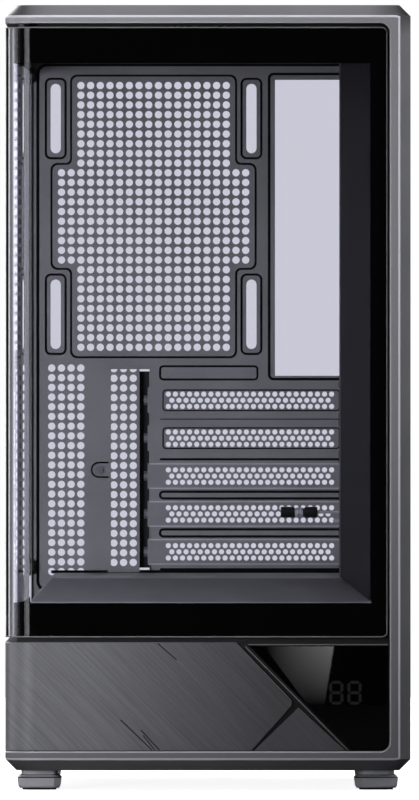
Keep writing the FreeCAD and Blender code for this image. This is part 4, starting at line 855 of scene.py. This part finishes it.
def buildSlotCovers():
    w, s = rearWall, slots
    left, right = s["plate"]
    half, notch, thick = s["half"], s["notch"], w["thick"]
    for number in range(1, 6):
        z = s["first"] - (number - 1) * s["pitch"]
        fields = [(count, 1, s["holesX"], z + up, s["holePitch"], 3.3) for count, up in s["rows"]]
        plate = perforatedSheet("cover_plate", [rectangle(left, right, z - half, z + half)], fields, s["hole"],
                                thick, w["inner"])
        shape = bmesh.new()
        # the ear that takes the screw is notched in its middle
        for back, z0, z1 in ((w["channelBack"], -half, -notch), (w["channelBack"], notch, half),
                             (s["notchBack"], -notch, notch)):
            addBox(shape, left, left + thick, w["inner"], w["outer"] + back, z + z0, z + z1)
        if number < 3:  # the upper two lie behind the wall's pressed fields and take a ring of painted shade, the others lie in front with painted highlights along their edges
            x0, x1, reach, corner = s["line"]
            loop = roundRectangle(x0, x1, z - reach, z + reach, corner)
            addBand(shape, loop, s["lineWidth"], w["cover"], 0.25, 1)
        else:
            for low in (z - half, z + half - s["lineWidth"]):
                high = low + s["lineWidth"]
                addBox(shape, left + thick, right - 0.1, w["cover"] - 0.35, w["cover"], low, high, 2)
        ear = fromShape("cover_ear", shape, [finishes[key] for key in ("black_steel", "shadeAndSealBlack", "edgeHighlight")])
        node = "slot_cover_" + str(number)
        place(join(node + "_plate", [plate, ear]), "case", "black_steel", node)


screwCover = {"left": -53.7, "right": -36.6, "low": 109.8, "high": 222.5, "holes": (3, 21, -45.2, 167.05),
              "lug": (-58.5, 164.75), "lugRound": 4.3, "lugHole": 1.7,
              "line": -53.2, "lineRound": 3.9, "lineWidth": 0.9,
              "channel": (-36.7, -35.9, -31.35), "channelEnds": (112.2, 217.6), "back": 189.9, "lip": 0.35}


def lugLoop(start, r, steps):
    # from a straight edge round the end of the lug and back, from its top to its foot
    x, z = screwCover["lug"]
    turns = [math.pi * i / steps for i in range(steps + 1)]
    return [(start, z + r)] + [(x - r * math.sin(t), z + r * math.cos(t)) for t in turns] + [(start, z - r)]


def buildScrewCover():
    w, c = rearWall, screwCover
    outline = [(c["left"], c["low"]), (c["right"], c["low"]), (c["right"], c["high"]), (c["left"], c["high"])]
    outline += lugLoop(c["left"], c["lugRound"], 8)
    plate = perforatedSheet("screw_cover_plate", [outline, circle(*c["lug"], c["lugHole"], 12)],
                            [(*c["holes"], w["pitch"], w["pitch"])], w["hole"], w["thick"], w["inner"])
    shape = bmesh.new()
    # painted shade: the channel and the line round the lug are near-black and the strip beside the channel the
    # darker steel, standing in for the shade in the opening
    x0, x1, x2 = c["channel"]  # hides the screws of the covers
    addBox(shape, x0, x1, w["inner"], c["back"], *c["channelEnds"])
    addBox(shape, x1, x2, c["back"] - c["lip"], c["back"], *c["channelEnds"], 1)
    lug = lugLoop(c["line"], c["lineRound"], 10)
    for start, end in zip(lug, lug[1:]):
        addStroke(shape, start, end, c["lineWidth"], w["cover"] - 0.25, w["cover"] + 0.05)
    channel = finished("screw_channel", shape, "shadeAndSealBlack", "shaded_steel")
    place(join("screw_cover_sheet", [plate, channel]), "case", "black_steel", "slot_screw_cover")


buildRearWall()
buildVent()
buildSlotCovers()
buildScrewCover()
print("rear wall done")


# thumb post on the tray: ribbed black knob, steel collar, black sleeve and a bright rod

# profiles: (distance along X, radius, material), 0 the black nylon and 1 the bright metal, drawn in the light edge
# colour: a painted highlight on the steel
trayPost = {"y": -8.0, "sides": 20, "start": 38.4, "z": 143.1, "pinStart": 66.0, "pinZ": 138.7,
            "profile": ((0.0, 0.0, 0), (0.0, 2.5, 0), (0.4, 2.9, 0), (7.0, 2.9, 0), (7.4, 2.4, 0),  # knob
                        (7.4, 1.9, 1), (8.0, 2.4, 1), (9.2, 2.6, 1), (9.4, 2.2, 1), (10.4, 2.2, 1),  # collar
                        (10.6, 2.6, 1), (11.8, 2.4, 1),
                        (12.4, 1.9, 0), (12.6, 2.7, 0), (13.0, 2.9, 0), (18.8, 2.9, 0), (19.3, 2.5, 0),  # sleeve
                        (19.4, 0.75, 1), (46.2, 0.75, 1), (46.2, 0.0, 1)),  # rod
            "pin": ((0.0, 0.0, 1), (0.0, 0.8, 1), (18.8, 0.8, 1), (18.8, 0.0, 1))}


def lathe(shape, profile, spot, sides):
    # a turned form along X from (distance, radius, material) steps
    rings = []
    for reach, radius, _ in profile:
        turns = [2 * math.pi * i / sides for i in range(sides if radius > 0 else 1)]
        rings.append([shape.verts.new(Vector((spot[0] + reach, spot[1] + radius * math.cos(turn),
                                              spot[2] + radius * math.sin(turn))) * mm) for turn in turns])
    for a, b, (_, _, material) in zip(rings, rings[1:], profile[1:]):
        for i in range(sides):
            j = (i + 1) % sides
            loop = [a[i % len(a)], a[j % len(a)], b[j % len(b)], b[i % len(b)]]
            corners = [v for k, v in enumerate(loop) if v not in loop[:k]]
            shape.faces.new(corners).material_index = material


def buildTrayPost():
    t = trayPost
    shape = bmesh.new()
    lathe(shape, t["profile"], (t["start"], t["y"], t["z"]), t["sides"])
    lathe(shape, t["pin"], (t["pinStart"], t["y"], t["pinZ"]), t["sides"])
    post = finished("tray_post_turned", shape, "port_plastic", "edgeHighlight")
    smoothMesh(post.data, 35)
    return place(post, "case", slotOf["tray_post"], "tray_post")


buildTrayPost()
print("tray post done")


# woven mesh of the two filters, drawn at 3.2 mm where the real weave is finer

weaves = {"top_filter_weave": {"x": 66.0, "y": (-115.0, 133.0), "z": 405.8, "body": "case"},
          "psu_filter_weave": {"x": 57.0, "y": (28.0, 176.0), "z": 12.6, "body": "psu_filter"}}
weaveMesh = {"pitch": 3.2, "hole": 1.25, "thick": 0.3, "sides": 6}


def buildWeaves():
    m = weaveMesh
    for name, w in weaves.items():
        low, high = w["y"]
        columns, rows = (int(span / m["pitch"]) - 1 for span in (2 * w["x"], high - low))
        field = (columns, rows, 0.0, (low + high) / 2, m["pitch"], m["pitch"])
        sheet = perforatedSheet(name, [rectangle(-w["x"], w["x"], low, high)], [field], m["hole"], m["thick"],
                                w["z"], "filter_mesh", True, m["sides"])
        place(sheet, w["body"], "filter_mesh")


buildWeaves()
print("filters done")


# camera

cameraLook = {"spot": (0.9, -10310.0, 202.2), "distance": 10120.0, "lens": 880.0}  # distance to the front face
cameraData = bpy.data.cameras.new("camera")
camera = addObject("camera", cameraData)
camera.location = [v * mm for v in cameraLook["spot"]]
camera.rotation_euler = (math.radians(90), 0, 0)
cameraData.lens = cameraLook["lens"]
cameraData.sensor_width = 36.0
cameraData.clip_end = 60.0
scene.camera = camera


# floor, light and surroundings

def buildFloor():
    # white to the camera and dull to the light, so that it throws no glare up into the case
    material, tree, shader, _ = startMaterial("paleFloor", {
        "Base Color": (0.85, 0.85, 0.85, 1), "Roughness": 0.9, "Emission Color": (1, 1, 1, 1),
        "Emission Strength": 0.9})
    seen = addNode(tree, "ShaderNodeLightPath").outputs["Is Camera Ray"]
    dull = addNode(tree, "ShaderNodeBsdfDiffuse", {"Color": (0.06, 0.06, 0.06, 1)})
    mixed = addNode(tree, "ShaderNodeMixShader", links={0: seen, 1: dull.outputs[0], 2: shader.outputs[0]})
    tree.links.new(mixed.outputs[0], firstNode(tree, "OUTPUT_MATERIAL").inputs["Surface"])
    shape = bmesh.new()
    bmesh.ops.create_grid(shape, x_segments=8, y_segments=8, size=3.0)
    fromShape("floor", shape, [material])


# brightness by the angle from straight behind the case: white behind it, dark flags beside that, softer sides
surroundings = ((0, 1), (1.4, 1), (2.2, 2), (3.6, 2), (4.4, 0.02), (7.8, 0.02), (9.4, 2.4), (24, 2.4),
                (29, 0.05), (52, 0.05), (62, 0.45), (104, 0.45), (110, 0.03), (180, 0.015))


def buildWorld():
    world = bpy.data.worlds.new("studio")
    world.use_nodes = True
    scene.world = world
    tree = world.node_tree
    tree.nodes.clear()
    view = addNode(tree, "ShaderNodeTexCoord")
    parts = addNode(tree, "ShaderNodeSeparateXYZ", links={0: view.outputs["Generated"]})
    angle = addNode(tree, "ShaderNodeMath", {"operation": "ARCCOSINE"}, {0: parts.outputs["Y"]})
    share = addNode(tree, "ShaderNodeMath", {"operation": "DIVIDE", 1: math.pi}, {0: angle.outputs[0]})
    ramp = addNode(tree, "ShaderNodeValToRGB", links={"Fac": share.outputs[0]})
    steps = ramp.color_ramp.elements
    while len(steps) < len(surroundings):
        steps.new(0.5)
    for step, (degrees, level) in zip(steps, surroundings):
        step.position = degrees / 180
        step.color = (level, level, level * 1.02, 1)
    around = addNode(tree, "ShaderNodeBackground", {"Strength": 1.0}, {"Color": ramp.outputs["Color"]})
    seen = addNode(tree, "ShaderNodeBackground", {"Color": (1, 1, 1, 1), "Strength": 1.0})
    ray = addNode(tree, "ShaderNodeLightPath")
    mixed = addNode(tree, "ShaderNodeMixShader", links={0: ray.outputs["Is Camera Ray"], 1: around.outputs[0],
                                                        2: seen.outputs[0]})
    addNode(tree, "ShaderNodeOutputWorld", links={"Surface": mixed.outputs[0]})


# lamps, in metres and watts
softboxes = {
    "stripLeft": {"place": (-1.35, -2.4, 0.5), "aim": (0, 0, 0.2), "size": (0.85, 2.4), "power": 12.5},
    "sideLeft": {"place": (-2.7, 0.35, 0.6), "aim": (0, 0, 0.2), "size": (1.6, 2.2), "power": 14.0},
    "topSoft": {"place": (0.1, -0.35, 2.6), "aim": (0, -0.1, 0.4), "size": (1.8, 1.8), "power": 13.0},
    "sideRight": {"place": (2.4, -0.45, 1.9), "aim": (0.1, -0.18, 0.4), "size": (1.4, 1.6), "power": 44.0},
    "rearSoft": {"place": (-1.3, 2.6, 1.7), "aim": (0, 0.1, 0.2), "size": (1.6, 1.6), "power": 45.0},
}
spots = {
    "keySpot": {"place": (-0.95, -3.0, 0.2), "aim": (-0.24, -0.1, 0.17), "cone": 15.0, "radius": 0.25,
                "power": 1050.0},
    "cornerSpot": {"place": (1.5, -1.6, 1.1), "aim": (0.1, -0.19, 0.42), "cone": 20.0, "radius": 0.2,
                   "power": 130.0},
}


def aimed(name, data, lamp):
    thing = addObject(name, data)
    thing.location = lamp["place"]
    thing.rotation_euler = (Vector(lamp["aim"]) - Vector(lamp["place"])).to_track_quat("-Z", "Y").to_euler()
    return thing


def buildLamps():
    for name, lamp in softboxes.items():
        data = bpy.data.lights.new(name, "AREA")
        data.shape = "RECTANGLE"
        data.size, data.size_y = lamp["size"]
        data.energy = lamp["power"]
        aimed(name, data, lamp)
    for name, lamp in spots.items():
        data = bpy.data.lights.new(name, "SPOT")
        data.spot_size = math.radians(lamp["cone"])
        data.spot_blend = 1.0
        data.shadow_soft_size = lamp["radius"]
        data.energy = lamp["power"]
        spot = aimed(name, data, lamp)
        spot.visible_glossy = False  # lights the paint, leaves no hot spot in the gloss
        spot.visible_transmission = False


# corners and fades in millimetres on the front of the case, where the highlight shows
glossCard = {"y": -14000.0, "strength": 3.0,
             "corners": ((26.0, 79.0), (66.0, 79.0), (60.3, 44.0), (52.0, 44.0)),
             "fadeUp": (44.0, 80.0), "fadeAcross": (30.0, 66.0)}


def buildGlossCard():
    # a small card far behind the camera, which gives the display window its soft highlight
    g = glossCard
    eye = Vector(cameraLook["spot"])
    grow = 2 + (eye.y - g["y"]) / cameraLook["distance"]  # mirrored in the window, as seen from the lens
    spots = [(eye.x + (x - eye.x) * grow, g["y"], eye.z + (z - eye.z) * grow) for x, z in g["corners"]]
    low, high = (eye.z + (z - eye.z) * grow for z in g["fadeUp"])
    left, right = (eye.x + (x - eye.x) * grow for x in g["fadeAcross"])
    material, tree, shader, where = startMaterial("softCard", {"Base Color": (0, 0, 0, 1), "Roughness": 1.0,
                                                               "Emission Color": (1, 1, 1, 1)})
    parts = addNode(tree, "ShaderNodeSeparateXYZ", links={0: where})
    upward = addNode(tree, "ShaderNodeMapRange", {
        "From Min": low * mm, "From Max": high * mm, "To Max": g["strength"]}, {"Value": parts.outputs["Z"]})
    across = addNode(tree, "ShaderNodeMapRange", {"From Min": left * mm, "From Max": right * mm},
                     {"Value": parts.outputs["X"]})
    fade = addNode(tree, "ShaderNodeMath", {"operation": "MULTIPLY"}, {0: upward.outputs[0], 1: across.outputs[0]})
    tree.links.new(fade.outputs[0], shader.inputs["Emission Strength"])
    mesh = bpy.data.meshes.new("gloss_card")
    mesh.from_pydata([Vector(spot) * mm for spot in spots], [], [(0, 1, 2, 3)])
    mesh.materials.append(material)
    card = addObject("gloss_card", mesh)
    card.visible_camera = False
    card.visible_diffuse = False


buildFloor()
buildWorld()
buildLamps()
buildGlossCard()
scene.view_settings.view_transform = "Standard"
scene.view_settings.look = "None"
print("stage done")
